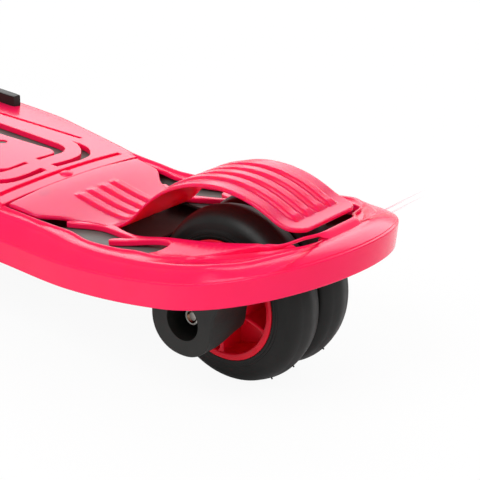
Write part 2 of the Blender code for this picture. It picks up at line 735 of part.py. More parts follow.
def brake_half_width(along):
    """The panel is as wide as its opening at the hinge and narrows in an S to the arch."""
    edge = [(-140.1, 52.6), (-132, 51.8), (-124, 50.6), (-117, 47.0), (-110, 41.0), (-103, 36.6),
            (-95, 34.6), (-86, 32.6), (-77, 29.6), (-68, 27.4)]
    stations = [(y * MM, x * MM) for y, x in edge] + [(-60.0 * MM, BRAKE_HALF_WIDTH)]
    for (y0, x0), (y1, x1) in zip(stations, stations[1:]):
        if along <= y1:
            return x0 + (x1 - x0) * max(along - y0, 0.0) / (y1 - y0)
    corner = 9.0 * MM
    left = BRAKE_TAIL_END[0] - along
    if left < corner:
        return BRAKE_HALF_WIDTH - corner + math.sqrt(max(corner ** 2 - (corner - left) ** 2, 0.0))
    return BRAKE_HALF_WIDTH


def brake_stations():
    front = PARTING_LINE + PARTING_GAP
    panel = [front + (-84.0 * MM - front) * i / 6 for i in range(6)]
    rise = [(-84.0 + 23.0 * i / 4) * MM for i in range(4)]
    arch = [(-61.0 + 92.0 * i / 8) * MM for i in range(8)]
    tail = [(31.0 + 16.0 * share) * MM for share in (0.0, 0.45, 0.8, 1.0)]
    return panel + rise + arch + tail


def make_brake():
    """Solidified sheet through the brake's stations, with its ribs and hinge knuckles."""
    columns = (-1.0, 1.0)
    stations = brake_stations()
    mesh = bpy.data.meshes.new("rear_brake")
    verts = []
    for along in stations:
        for share in columns:
            verts.append((share * brake_half_width(along), along + REAR_AXLE_Y,
                          brake_top(along) + REAR_AXLE_Z))
    wide = len(columns)
    faces = []
    for i in range(len(stations) - 1):
        for j in range(wide - 1):
            a = i * wide + j
            faces.append((a, a + 1, a + wide + 1, a + wide))
    mesh.from_pydata(verts, [], faces)
    sheet = link("rear_brake", mesh)
    solidify = sheet.modifiers.new("Solidify", 'SOLIDIFY')
    solidify.thickness = BRAKE_THICKNESS
    solidify.offset = -1.0
    brake = baked(sheet)
    for number in range(4):
        brake = join(brake, brake_rib((number - 1.5) * BRAKE_RIB_SPACING))
    pin_y, pin_z = hinge_place()
    for side in (1, -1):
        start = side * HINGE_KNUCKLE_X - HINGE_KNUCKLE_WIDTH / 2
        knuckle = cylinder("knuckle", HINGE_KNUCKLE_RADIUS, 0.0, HINGE_KNUCKLE_WIDTH, 10,
                           across(start, pin_y, pin_z))
        web = block("web", (start, pin_y - 1.2 * MM, pin_z),
                    (start + HINGE_KNUCKLE_WIDTH, pin_y + 4.0 * MM,
                     pin_z + HINGE_DROP - BRAKE_THICKNESS / 2))
        brake = join(brake, join(knuckle, web))
        brake = cut(brake, bore(HINGE_PIN_RADIUS + BORE_CLEARANCE, -MM,
                                    HINGE_KNUCKLE_WIDTH + MM, 8, across(start, pin_y, pin_z)))
    return finish(brake, RED, 50.0)


def brake_rib(x):
    """A round ridge that lies half sunk in the brake's top and tapers off at both ends."""
    length = BRAKE_RIB_END - BRAKE_RIB_START
    count = 9
    sunk = BRAKE_RIB_RADIUS - BRAKE_RIB_HEIGHT
    points, radii = [], []
    for i in range(count + 1):
        share = i / count
        along = BRAKE_RIB_START + length * share
        fade = min(1.0, share / 0.12, (1 - share) / 0.09)
        radius = BRAKE_RIB_RADIUS * (0.55 + 0.45 * math.sin(math.pi / 2 * fade))
        points.append((x, along + REAR_AXLE_Y, brake_top(along) + REAR_AXLE_Z - sunk))
        radii.append(radius if 0 < i < count else BRAKE_RIB_RADIUS * 0.4)
    return tube_along("rib", points, radii, sides=1, smooth=False)


def make_spring():
    """Torsion spring on the hinge pin: one leg under the brake panel, one on the tray."""
    pin_y, pin_z = hinge_place()
    radius = HINGE_PIN_RADIUS + BORE_CLEARANCE + SPRING_WIRE
    pitch = 3.6 * SPRING_WIRE
    half = pitch * SPRING_TURNS / 2
    reach = 15.0 * MM
    under = brake_top(HINGE_LINE + reach) + REAR_AXLE_Z - BRAKE_THICKNESS - SPRING_WIRE - CLEARANCE
    points = [(-half, pin_y + reach, under)]
    per_turn = 8
    for i in range(SPRING_TURNS * per_turn + per_turn // 4 + 1):
        angle = math.pi / 2 + 2 * math.pi * i / per_turn
        x = -half + pitch * i / per_turn
        points.append((x, pin_y + radius * math.cos(angle), pin_z + radius * math.sin(angle)))
    points.append((x, pin_y - radius, deck_rise(HINGE_LINE) + TRAY_TOP + CLEARANCE))
    spring = tube_along("brake_spring", points, [SPRING_WIRE] * len(points), sides=0, smooth=False)
    return finish(spring, STEEL, 60.0)


def make_hinge_pin():
    pin_y, pin_z = hinge_place()
    half = HINGE_LUG_X + HINGE_LUG_WIDTH / 2 + MM
    radius = HINGE_PIN_RADIUS
    head = 1.6 * MM
    profile = [(0.0, half + head), (radius * 1.7, half + head), (radius * 1.7, half),
               (radius, half), (radius, -half), (0.0, -half)]
    pin = turned("brake_hinge_pin", profile, 10, matrix=across(0.0, pin_y, pin_z))
    return finish(pin, STEEL)


def tyre_profile(radius, width):
    half = width / 2
    shoulder = radius - TYRE_SHOULDER
    inner = radius - TYRE_DEPTH
    crown = [(radius - 0.1 * MM, 0.25 * half), (radius - 1.6 * MM, 0.7 * half), (shoulder, half),
             (shoulder - 4.0 * MM, half), (inner, half - 0.8 * MM)]
    other = [(r, -x) for r, x in reversed(crown)]
    return list(reversed(other + crown))


def make_tyre(name, place, radius, width):
    tyre = turned(name, tyre_profile(radius, width), 28, ring=True, matrix=across(*place))
    return finish(tyre, RUBBER, 40.0)


def make_hub(name, place, radius, width, side, inner_lip):
    """Spoked hub: a rim that carries the tyre, a boss with two bearing seats and the spokes."""
    rim_outer = radius - TYRE_DEPTH - BORE_CLEARANCE
    rim_inner = rim_outer - RIM_WALL
    half = width / 2
    rim = [(rim_outer, half + RIM_LIP), (rim_outer, -half - inner_lip),
           (rim_inner, -half - inner_lip), (rim_inner - 1.2 * MM, 0.0), (rim_inner, half + RIM_LIP)]
    hub = turned(name, rim, 24, ring=True)
    hub = join(hub, cylinder("boss", HUB_BOSS_RADIUS, -half, half, 14))
    for number in range(SPOKE_COUNT):
        turn = Matrix.Rotation(2 * math.pi * (number + 0.35) / SPOKE_COUNT, 4, 'Z')
        spoke = block("spoke", (HUB_BOSS_RADIUS - 2 * MM, -SPOKE_WIDTH / 2, -half + 5 * MM),
                      (rim_inner + 1.5 * MM, SPOKE_WIDTH / 2, half - 3 * MM))
        hub = join(hub, move(spoke, turn))
    seat = BEARING_OUTER_RADIUS + BORE_CLEARANCE
    depth = BEARING_WIDTH + CLEARANCE
    hub = cut(hub, bore(AXLE_RADIUS + SPACER_WALL + 2 * BORE_CLEARANCE,
                            -half - MM, half + MM, 8),
              bore(seat, half - depth, half + MM, 14),
              bore(seat, -half - MM, -half + depth, 14))
    turn = Matrix.Rotation(math.radians(90 * side), 4, 'Y')
    return finish(move(hub, Matrix.Translation(place) @ turn), RED, 40.0)


def make_bearing(name, place, side, width):
    """Ball bearing as one body: rings joined by a shallow shield."""
    outer_end = width / 2
    inner_end = outer_end - BEARING_WIDTH
    inner = AXLE_RADIUS + 2 * BORE_CLEARANCE
    shield = 0.5 * MM
    profile = [(BEARING_OUTER_RADIUS, outer_end), (BEARING_OUTER_RADIUS, inner_end), (inner, inner_end),
               (inner, outer_end), (inner + 3.0 * MM, outer_end - shield)]
    turn = Matrix.Rotation(math.radians(90 * side), 4, 'Y')
    bearing = turned(name, profile, 12, ring=True, matrix=Matrix.Translation(place) @ turn)
    return finish(bearing, STEEL)


def make_spacer(name, start, end, y, z):
    spacer = sleeve(name, AXLE_RADIUS + BORE_CLEARANCE, AXLE_RADIUS + SPACER_WALL, start, end, 8,
                    across(0.0, y, z))
    return finish(spacer, STEEL)


def make_axle(name, y, z, half, head_height=6.0 * MM):
    """Barrel bolt: a round head with a hexagon socket, and a plain shaft."""
    tip = half - 2.5 * MM
    profile = [(0.0, half + head_height), (BOLT_HEAD_RADIUS - 1.2 * MM, half + head_height),
               (BOLT_HEAD_RADIUS, half + head_height - 1.2 * MM), (BOLT_HEAD_RADIUS, half),
               (AXLE_RADIUS, half), (AXLE_RADIUS, -tip), (0.0, -tip)]
    bolt = turned(name, profile, 14)
    socket = cylinder("socket", BOLT_SOCKET_RADIUS, half + 2.0 * MM, half + head_height + MM, 6)
    return finish(move(cut(bolt, socket), across(0.0, y, z)), STEEL)


def make_nut(name, y, z, half, head_height=6.0 * MM):
    inner = AXLE_RADIUS + BORE_CLEARANCE
    profile = [(BOLT_HEAD_RADIUS - 1.2 * MM, half + head_height),
               (BOLT_HEAD_RADIUS, half + head_height - 1.2 * MM),
               (BOLT_HEAD_RADIUS, half), (inner, half), (inner, half + head_height)]
    turn = Matrix.Translation((0.0, y, z)) @ Matrix.Rotation(math.radians(-90), 4, 'Y')
    return finish(turned(name, profile, 14, ring=True, matrix=turn), STEEL)


def make_wheel(prefix, place, radius, width, side=1, inner_lip=RIM_LIP):
    make_tyre(prefix + "_tyre", place, radius, width)
    make_hub(prefix + "_hub", place, radius, width, side, inner_lip)
    make_bearing(prefix + "_bearing_left", place, 1, width)
    make_bearing(prefix + "_bearing_right", place, -1, width)
    reach = width / 2 - BEARING_WIDTH - CLEARANCE
    make_spacer(prefix + "_inner_spacer", place[0] - reach, place[0] + reach, place[1], place[2])


def make_rear_wheels():
    offset = REAR_WHEEL_SPACING / 2
    for side, word in ((1, "left"), (-1, "right")):
        place = (side * offset, REAR_AXLE_Y, REAR_AXLE_Z)
        make_wheel("rear_wheel_" + word, place, REAR_WHEEL_RADIUS, REAR_TYRE_WIDTH, side, 0.0)
    half = (REAR_WHEEL_SPACING - REAR_TYRE_WIDTH) / 2 - BORE_CLEARANCE
    make_spacer("rear_centre_washer", -half, half, REAR_AXLE_Y, REAR_AXLE_Z)


def rear_bearing_reach():
    """Distance from the middle plane to the outer faces of the rear wheels' bearings."""
    return REAR_WHEEL_SPACING / 2 + REAR_TYRE_WIDTH / 2


def make_rear_axle():
    start = rear_bearing_reach() + CLEARANCE
    end = ARM_INNER_X - CLEARANCE
    make_spacer("rear_side_spacer_left", start, end, REAR_AXLE_Y, REAR_AXLE_Z)
    make_spacer("rear_side_spacer_right", -end, -start, REAR_AXLE_Y, REAR_AXLE_Z)
    floor = ARM_OUTER_X - ARM_RECESS_DEPTH + CLEARANCE
    make_axle("rear_axle_bolt", REAR_AXLE_Y, REAR_AXLE_Z, floor)
    make_nut("rear_axle_nut", REAR_AXLE_Y, REAR_AXLE_Z, floor)


def make_front_wheel():
    place = tuple(FRONT_AXLE)
    make_wheel("front_wheel", place, FRONT_WHEEL_RADIUS, FRONT_TYRE_WIDTH)
    start = FRONT_TYRE_WIDTH / 2 + CLEARANCE
    end = blade_inner() - CLEARANCE
    make_spacer("front_side_spacer_left", start, end, place[1], place[2])
    make_spacer("front_side_spacer_right", -end, -start, place[1], place[2])
    outer = blade_inner() + FORK_BLADE_THICKNESS + CLEARANCE
    make_axle("front_axle_bolt", place[1], place[2], outer)
    make_nut("front_axle_nut", place[1], place[2], outer)


def blade_inner():
    return FRONT_TYRE_WIDTH / 2 + RIM_LIP + 3.0 * MM


def make_fork():
    """Crown, two rounded blades and the steerer tube, along the steering axis."""
    inner = blade_inner()
    outer = inner + FORK_BLADE_THICKNESS
    crown_low = FRONT_WHEEL_RADIUS + FORK_CLEARANCE
    crown_high = crown_low + FORK_CROWN_HEIGHT
    half = FORK_BLADE_WIDTH / 2
    fork = block("fork", (-outer, -half, crown_low), (outer, half, crown_high), 2.0 * MM)
    for side in (1, -1):
        outline = [(half, crown_low + 5 * MM), (half, 25 * MM)]
        for i in range(7):
            angle = math.pi * i / 6
            outline.append((13 * MM * math.cos(angle), -13 * MM * math.sin(angle)))
        outline += [(-half, 25 * MM), (-half, crown_low + 5 * MM)]
        blade = plate("blade", [outline], 0.0, FORK_BLADE_THICKNESS)
        start = inner if side > 0 else -outer
        turn = Matrix(((0, 0, 1, start), (1, 0, 0, 0), (0, 1, 0, 0), (0, 0, 0, 1)))
        fork = join(fork, move(blade, turn))
    top = HEAD_BOTTOM + HEAD_LENGTH + 30 * MM
    fork = join(fork, cylinder("steerer", STEERER_RADIUS - BORE_CLEARANCE, crown_high - 3 * MM, top, 16))
    fork = cut(fork, bore(AXLE_RADIUS + BORE_CLEARANCE, -outer - MM, outer + MM, 10,
                              across(0.0, 0.0, 0.0)))
    move(fork, on_steering(0.0))
    return finish(fork, BLACK)


def make_mudguard():
    """Curved guard over the front wheel, under the fork's crown."""
    inner = FRONT_WHEEL_RADIUS + MUDGUARD_GAP
    mesh = bpy.data.meshes.new("front_mudguard")
    half = FRONT_TYRE_WIDTH / 2 + 1.0 * MM
    columns = ((-1.0, -4.0), (-0.7, -0.5), (0.7, -0.5), (1.0, -4.0))
    steps = 10
    verts, faces = [], []
    for i in range(steps + 1):
        angle = math.radians(-42 + 150 * i / steps)
        for share, drop in columns:
            radius = inner + MUDGUARD_THICKNESS + drop * MM
            verts.append((share * half, radius * math.sin(angle), radius * math.cos(angle)))
    wide = len(columns)
    for i in range(steps):
        for j in range(wide - 1):
            a = i * wide + j
            faces.append((a, a + 1, a + wide + 1, a + wide))
    mesh.from_pydata(verts, [], faces)
    guard = link("front_mudguard", mesh)
    solidify = guard.modifiers.new("Solidify", 'SOLIDIFY')
    solidify.thickness = MUDGUARD_THICKNESS
    solidify.offset = -1.0
    guard = baked(guard)
    post = cylinder("post", 5 * MM, inner + MUDGUARD_THICKNESS / 2,
                    FRONT_WHEEL_RADIUS + FORK_CLEARANCE - CLEARANCE, 12)
    guard = join(guard, post)
    move(guard, on_steering(0.0))
    return finish(guard, RED)


def collar_wall(side):
    """Raised black wall along one edge of the deck, from its rear end to the nose."""
    edges = []
    for inset in (COLLAR_WALL_INSET, COLLAR_WALL_INSET + COLLAR_WALL_WIDTH):
        edge = clipped(inset_outline(inset), COLLAR_WALL_START, rear=False)
        edges.append(sorted([p for p in edge if side * p[0] >= -MM], key=lambda p: -p[1]))
    return edges[0] + edges[1][::-1]


def make_neck():
    """Black neck: foot plate and walls on the deck's front, gooseneck and head tube."""
    low = PLATFORM_HEIGHT + CLEARANCE
    inside = clipped(inset_outline(10 * MM), DECK_NOSE + 66 * MM, rear=False)
    neck = plate("neck", [inside], low, low + 5.0 * MM)
    top = PLATFORM_HEIGHT + COLLAR_WALL_HEIGHT
    for side in (1, -1):
        neck = join(neck, plate("wall", [collar_wall(side)], low, top))
    neck = bend(neck)
    base_z = deck_rise(DECK_NOSE + 33 * MM) + low
    head_middle = FRONT_AXLE + STEERING_AXIS * (HEAD_BOTTOM + HEAD_LENGTH * 0.55)
    nose_y = REAR_AXLE_Y + DECK_NOSE
    stretch = 1.5
    points = [Vector((0.0, nose_y + 70 * MM, base_z + 6 * MM)),
              Vector((0.0, nose_y + 33 * MM, base_z + 14 * MM)),
              Vector((0.0, nose_y - 2 * MM, base_z + 38 * MM)),
              head_middle + Vector((0.0, 6 * MM, 0.0))]
    radii = [7 * MM, 15 * MM, 19 * MM, 17 * MM]
    goose = [(p.x, p.y, p.z) for p in points]
    neck = join(neck, tube_along("gooseneck", goose, radii, sides=2, scale=(stretch, 1.0, 1.0)))
    neck = cut(neck, block("trim", (-80 * MM, nose_y - 22 * MM, base_z - 60 * MM),
                           (80 * MM, nose_y + 108 * MM, base_z)))
    base = on_steering(0.0)
    high = HEAD_BOTTOM + HEAD_LENGTH
    neck = join(neck, cylinder("head", HEAD_RADIUS, HEAD_BOTTOM, high, 18, base, 1.5 * MM))
    neck = cut(neck, bore(STEERER_RADIUS + 1.5 * MM, HEAD_BOTTOM - MM, high + MM, 14, base),
               bore(HEADSET_RADIUS, HEAD_BOTTOM - 20 * MM, HEAD_BOTTOM + HEADSET_DEPTH, 14,
                        base),
               bore(HEADSET_RADIUS, high - HEADSET_DEPTH, high + 20 * MM, 14, base))
    return finish(neck, BLACK)


def make_headset():
    inner = STEERER_RADIUS
    outer = HEADSET_RADIUS - BORE_CLEARANCE
    high = HEAD_BOTTOM + HEAD_LENGTH
    crown_high = FRONT_WHEEL_RADIUS + FORK_CLEARANCE + FORK_CROWN_HEIGHT
    lower = sleeve("headset_bearing_lower", inner, outer, crown_high + CLEARANCE,
                   HEAD_BOTTOM + HEADSET_DEPTH - CLEARANCE, 14, on_steering(0.0))
    finish(lower, STEEL)
    upper = sleeve("headset_bearing_upper", inner, outer, high - HEADSET_DEPTH + CLEARANCE,
                   high + 1.5 * MM, 14, on_steering(0.0))
    finish(upper, STEEL)


def make_column():
    """Lower steering tube over the steerer, slit at its top under the clamp."""
    start = HEAD_BOTTOM + HEAD_LENGTH + 1.5 * MM + CLEARANCE
    outer = STEERER_RADIUS + COLUMN_WALL
    flare = [(outer, start + COLUMN_LENGTH), (outer, start + 20 * MM), (outer + 3 * MM, start + 14 * MM),
             (outer + 3 * MM, start), (STEERER_RADIUS, start), (STEERER_RADIUS, start + COLUMN_LENGTH)]
    column = turned("steering_column", flare, 18, ring=True)
    slit = block("slit", (-1.2 * MM, 0.0, start + COLUMN_LENGTH - 26 * MM),
                 (1.2 * MM, 30 * MM, start + COLUMN_LENGTH + MM))
    column = cut(column, slit)
    move(column, on_steering(0.0))
    return finish(column, BLACK)


def column_top():
    return HEAD_BOTTOM + HEAD_LENGTH + 1.5 * MM + CLEARANCE + COLUMN_LENGTH


def make_clamp():
    """Split collar with two ears, its bolt, and the cam lever that closes it."""
    low = column_top() - COLLAR_HEIGHT + 4 * MM
    high = column_top() + 2 * MM
    inner = STEERER_RADIUS + COLUMN_WALL + BORE_CLEARANCE
    outer = inner + COLLAR_WALL
    collar = cylinder("height_clamp", outer, low, high, 18, bevel=1.5 * MM)
    ear_half = 9.0 * MM
    collar = join(collar, block("ears", (-ear_half, outer - 3 * MM, low + 4 * MM),
                                (ear_half, outer + 15 * MM, high - 4 * MM), 0.0))
    lip = BAR_TUBE_RADIUS + BORE_CLEARANCE
    collar = cut(collar, bore(inner, low - MM, column_top() + CLEARANCE, 18),
                 bore(lip, low, high + MM, 18),
                 block("split", (-1.5 * MM, 0.0, low - MM), (1.5 * MM, outer + 20 * MM, high + MM)))
    middle = (low + high) / 2
    bolt_y = outer + 8 * MM
    bolt_radius = 2.5 * MM
    collar = cut(collar, bore(bolt_radius + BORE_CLEARANCE, -20 * MM, 20 * MM, 8,
                                  across(0.0, bolt_y, middle)))
    move(collar, on_steering(0.0))
    finish(collar, RED)
    end = ear_half + 12 * MM
    start = -ear_half - CLEARANCE
    profile = [(0.0, end), (bolt_radius, end), (bolt_radius, start), (4.5 * MM, start),
               (4.5 * MM, start - 3.5 * MM), (0.0, start - 3.5 * MM)]
    bolt = turned("clamp_bolt", profile, 10, matrix=across(0.0, bolt_y, middle))
    finish(move(bolt, on_steering(0.0)), STEEL)
    lever = make_lever(ear_half + CLEARANCE, bolt_y, middle, bolt_radius)
    finish(move(lever, on_steering(0.0)), BLACK)


def make_lever(start, bolt_y, middle, bolt_radius):
    """Cam round the bolt's end and a handle that lies along the column when closed."""
    width = 11 * MM
    cam = cylinder("clamp_lever", 8 * MM, 0.0, width, 14, across(start, bolt_y, middle))
    end = middle - LEVER_LENGTH
    outline = [(bolt_y - 6 * MM, middle), (bolt_y - 3.5 * MM, end), (bolt_y + 3.5 * MM, end),
               (bolt_y + 6 * MM, middle)]
    handle = plate("handle", [outline], MM, width - MM)
    turn = Matrix(((0, 0, 1, start), (1, 0, 0, 0), (0, 1, 0, 0), (0, 0, 0, 1)))
    lever = join(cam, move(handle, turn))
    return cut(lever, bore(bolt_radius + BORE_CLEARANCE, -MM, width + MM, 8,
                               across(start, bolt_y, middle)))


def make_handlebar():
    """Sliding bar tube with the crossbar welded on top."""
    bottom = column_top() - BAR_INSERT
    bar = cylinder("handlebar", BAR_TUBE_RADIUS, bottom, BAR_HEIGHT, 18)
    cross = cylinder("crossbar", CROSSBAR_RADIUS, -CROSSBAR_HALF_LENGTH, CROSSBAR_HALF_LENGTH, 14,
                     across(0.0, 0.0, BAR_HEIGHT))
    bar = join(bar, cross)
    saddle = cylinder("saddle", CROSSBAR_RADIUS + 5 * MM, -20 * MM, 20 * MM, 14,
                      across(0.0, 0.0, BAR_HEIGHT), 2.0 * MM)
    bar = join(bar, saddle)
    bar = cut(bar, bore(BAR_TUBE_RADIUS - BAR_WALL, bottom - MM, BAR_HEIGHT - 20 * MM, 12))
    move(bar, on_steering(0.0))
    finish(bar, SILVER)
    for side, word in ((1, "left"), (-1, "right")):
        make_grip("grip_" + word, side)


def make_grip(name, side):
    """Rubber grip: flange, swollen body with rings, closed at its end."""
    inner = CROSSBAR_RADIUS + BORE_CLEARANCE
    end = CROSSBAR_HALF_LENGTH + CLEARANCE + GRIP_END_WALL
    start = end - GRIP_LENGTH
    flange = GRIP_RADIUS + 5.0 * MM
    profile = [(0.0, end), (flange - 2.5 * MM, end), (flange - 1.0 * MM, end - 2.0 * MM),
               (flange - 1.0 * MM, end - 5 * MM), (GRIP_RADIUS, end - 8 * MM)]
    rings = 3
    for i in range(rings):
        middle = end - 16 * MM - (GRIP_LENGTH - 32 * MM) * i / (rings - 1)
        swell = 1.2 * MM
        profile += [(GRIP_RADIUS, middle + 4 * MM), (GRIP_RADIUS + swell, middle),
                    (GRIP_RADIUS, middle - 4 * MM)]
    depth = CROSSBAR_HALF_LENGTH + CLEARANCE
    profile += [(flange, start + 4.5 * MM), (flange - 1.0 * MM, start), (inner, start), (inner, depth),
                (0.0, depth)]
    turn = Matrix.Translation((0.0, 0.0, BAR_HEIGHT)) @ Matrix.Rotation(math.radians(90 * side), 4, 'Y')
    grip = turned(name, profile, 14, matrix=turn)
    move(grip, on_steering(0.0))
    return finish(grip, RUBBER, 45.0)


def make_screws():
    bottom = TRAY_TOP - TRAY_THICKNESS
    for number, (x, y) in enumerate(screw_places(), 1):
        lift = deck_rise(y)
        head_top = lift + bottom - CLEARANCE
        profile = [(0.0, lift + PLATFORM_HEIGHT - PLATFORM_THICKNESS - 2.0 * MM),
                   (SCREW_RADIUS, lift + PLATFORM_HEIGHT - PLATFORM_THICKNESS - 2.0 * MM),
                   (SCREW_RADIUS, head_top), (SCREW_HEAD_RADIUS, head_top),
                   (SCREW_HEAD_RADIUS - 0.8 * MM, head_top - 2.2 * MM), (0.0, head_top - 2.2 * MM)]
        screw = turned("deck_screw_%d" % number, profile, 8,
                       matrix=Matrix.Translation((x, y + REAR_AXLE_Y, 0.0)))
        finish(screw, STEEL)


clear_scene()
PARTS = bpy.data.collections.new("kick_scooter")
bpy.context.scene.collection.children.link(PARTS)

RED = make_material("pink_red_plastic", (0.90, 0.02, 0.09), 0.25)
BLACK = make_material("black_plastic", (0.030, 0.030, 0.028), 0.42)
RUBBER = make_material("tyre_rubber", (0.022, 0.021, 0.020), 0.55)
STEEL = make_material("plated_steel", (0.62, 0.60, 0.57), 0.30, 1.0)
SILVER = make_material("brushed_aluminium", (0.75, 0.75, 0.76), 0.32, 1.0)

make_deck_shell()
make_underframe()
make_brake()
make_spring()
make_hinge_pin()
make_screws()
make_rear_wheels()
make_rear_axle()
make_front_wheel()
make_fork()
make_mudguard()
make_neck()
make_headset()
make_column()
make_clamp()
make_handlebar()
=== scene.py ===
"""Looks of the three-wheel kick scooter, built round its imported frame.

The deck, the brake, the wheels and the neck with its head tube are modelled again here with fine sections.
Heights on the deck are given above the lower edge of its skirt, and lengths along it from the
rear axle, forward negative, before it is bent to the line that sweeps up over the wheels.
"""
import json
import math

import bmesh
import bpy
from mathutils import Matrix, Vector


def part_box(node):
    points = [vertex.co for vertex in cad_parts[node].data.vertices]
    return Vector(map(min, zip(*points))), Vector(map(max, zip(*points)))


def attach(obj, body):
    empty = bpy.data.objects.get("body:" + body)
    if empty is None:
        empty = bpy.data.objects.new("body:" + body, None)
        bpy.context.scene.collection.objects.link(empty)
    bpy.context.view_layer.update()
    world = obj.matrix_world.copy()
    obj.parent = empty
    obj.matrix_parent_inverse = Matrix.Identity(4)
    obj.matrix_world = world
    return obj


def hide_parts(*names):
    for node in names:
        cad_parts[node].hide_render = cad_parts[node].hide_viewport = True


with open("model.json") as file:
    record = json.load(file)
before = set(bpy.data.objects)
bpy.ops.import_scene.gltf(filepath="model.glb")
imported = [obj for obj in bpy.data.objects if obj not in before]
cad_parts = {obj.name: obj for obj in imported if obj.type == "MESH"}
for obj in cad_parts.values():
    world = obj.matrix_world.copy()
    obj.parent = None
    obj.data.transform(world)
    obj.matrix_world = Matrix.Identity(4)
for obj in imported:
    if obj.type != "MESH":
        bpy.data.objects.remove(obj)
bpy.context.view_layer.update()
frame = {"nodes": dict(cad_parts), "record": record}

MM = 0.001


def box_middle(node):
    low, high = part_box(node)
    return (low + high) / 2


REAR_AXLE = box_middle("rear_wheel_left_tyre")
AXLE_Y, AXLE_Z = REAR_AXLE.y, REAR_AXLE.z
FRONT_AXLE = box_middle("front_wheel_tyre")
STEERING_TILT = math.radians(12.0)
STEERING_AXIS = Vector((0.0, math.sin(STEERING_TILT), math.cos(STEERING_TILT)))

DECK_HALF_WIDTHS = ((0.0, 74.6), (-70.0, 73.3), (-140.0, 70.2), (-220.0, 86.0), (-310.0, 88.5))
DECK_NOSE = -438.0
DECK_NOSE_FULLNESS = 2.3
REAR_OVERHANG = 76.0
END_STEPS = 36           # stations round a quarter of the nose, and round a quarter of the rear
SIDE_STEP = 4.0
DECK_BASE_Z = AXLE_Z / MM - 6.2
DECK_PITCH = 0.02
DECK_SWEEP_START = -140.0
DECK_SWEEP = 0.9e-3
PARTING_LINE = -140.8
PLATFORM_HEIGHT = 30.8
SHELF_HEIGHT = 23.6
CROWN = 2.2
CROWN_HALF_WIDTH = 57.0


# Small tools for meshes

def hermite(y, y0, y1, z0, z1, slope0, slope1):
    """Cubic between two points with a slope at each."""
    run = y1 - y0
    t = (y - y0) / run
    return (z0 * (2 * t ** 3 - 3 * t ** 2 + 1) + z1 * (3 * t ** 2 - 2 * t ** 3)
            + slope0 * run * (t ** 3 - 2 * t ** 2 + t) + slope1 * run * (t ** 3 - t ** 2))


def smooth_step(value, start, end):
    t = min(max((value - start) / (end - start), 0.0), 1.0)
    return t * t * (3 - 2 * t)


def smooth_line(value, rows, flat_ends=False):
    """Smooth curve through (value, result) rows, with the last result outside them."""
    last = len(rows) - 1

    def slope(k):
        if flat_ends and k in (0, last):
            return 0.0
        (v0, r0), (v1, r1) = rows[max(k - 1, 0)], rows[min(k + 1, last)]
        return (r1 - r0) / (v1 - v0)

    for i in range(last):
        (v0, r0), (v1, r1) = rows[i], rows[i + 1]
        if min(v0, v1) <= value <= max(v0, v1):
            return hermite(value, v0, v1, r0, r1, slope(i), slope(i + 1))
    return rows[-1][1]


def table(value, rows):
    """Reading of a table of (value, result) rows in rising order, level at each row."""
    if value <= rows[0][0]:
        return rows[0][1]
    for (v0, r0), (v1, r1) in zip(rows, rows[1:]):
        if value <= v1:
            return r0 + (r1 - r0) * smooth_step(value, v0, v1)
    return rows[-1][1]


def deck_rise(along):
    """Height of the skirt's lower edge above the ground, in millimetres."""
    behind = max(along - DECK_SWEEP_START, 0.0)
    return DECK_BASE_Z - DECK_PITCH * along + DECK_SWEEP * behind ** 2


def deck_point(x, along, height):
    """Place in metres of a point that is given on the straight deck in millimetres."""
    return (x * MM, along * MM + AXLE_Y, (height + deck_rise(along)) * MM)


def through(points, per):
    """Points on a smooth curve through the given ones, per of them to a stretch."""
    padded = [points[0]] + list(points) + [points[-1]]
    result = []
    for i in range(1, len(padded) - 2):
        a, b, c, d = (Vector(p) for p in padded[i - 1:i + 3])
        for j in range(per):
            t = j / per
            result.append(tuple(0.5 * (2 * b + (c - a) * t + (2 * a - 5 * b + 4 * c - d) * t ** 2
                                       + (3 * b - a - 3 * c + d) * t ** 3)))
    result.append(tuple(points[-1]))
    return result


def both_sides(half):
    """Close an outline given for the +X side by its mirror."""
    return half + [(-x, y) for x, y in reversed(half) if x > 0.01]


def new_object(name, mesh):
    obj = bpy.data.objects.new(name, mesh)
    bpy.context.scene.collection.objects.link(obj)
    return obj


def weld(mesh, gap):
    """Join a mesh's near points, drop its flat faces and turn the rest outwards."""
    body = bmesh.new()
    body.from_mesh(mesh)
    bmesh.ops.remove_doubles(body, verts=body.verts, dist=gap * MM)
    bmesh.ops.dissolve_degenerate(body, edges=body.edges, dist=0.001 * MM)
    bmesh.ops.recalc_face_normals(body, faces=body.faces)
    body.to_mesh(mesh)
    body.free()


def mesh_object(name, verts, faces):
    """Object from points in metres, with its faces turned outwards."""
    mesh = bpy.data.meshes.new(name)
    mesh.from_pydata(verts, [], faces)
    weld(mesh, 0.001)
    return new_object(name, mesh)


def loft(name, rings, closed=False, open_section=False):
    """Skin over rings of equally many points; closed joins the last ring to the first."""
    depth = len(rings[0])
    verts = [tuple(point) for ring in rings for point in ring]
    faces = []
    count = len(rings)
    for i in range(count if closed else count - 1):
        for j in range(depth - 1 if open_section else depth):
            a = i * depth + j
            b = i * depth + (j + 1) % depth
            c = ((i + 1) % count) * depth + (j + 1) % depth
            d = ((i + 1) % count) * depth + j
            faces.append((a, b, c, d))
    if not closed:
        faces.append(tuple(range(depth)))
        faces.append(tuple(range((count - 1) * depth, count * depth)))
    return mesh_object(name, verts, faces)


def applied(obj):
    """The object with its modifiers or curve settings made into a plain mesh."""
    bpy.context.view_layer.update()
    graph = bpy.context.evaluated_depsgraph_get()
    mesh = bpy.data.meshes.new_from_object(obj.evaluated_get(graph))
    mesh.transform(obj.matrix_world)
    name = obj.name
    bpy.data.objects.remove(obj, do_unlink=True)
    weld(mesh, 0.002)
    mesh.materials.clear()
    return new_object(name, mesh)


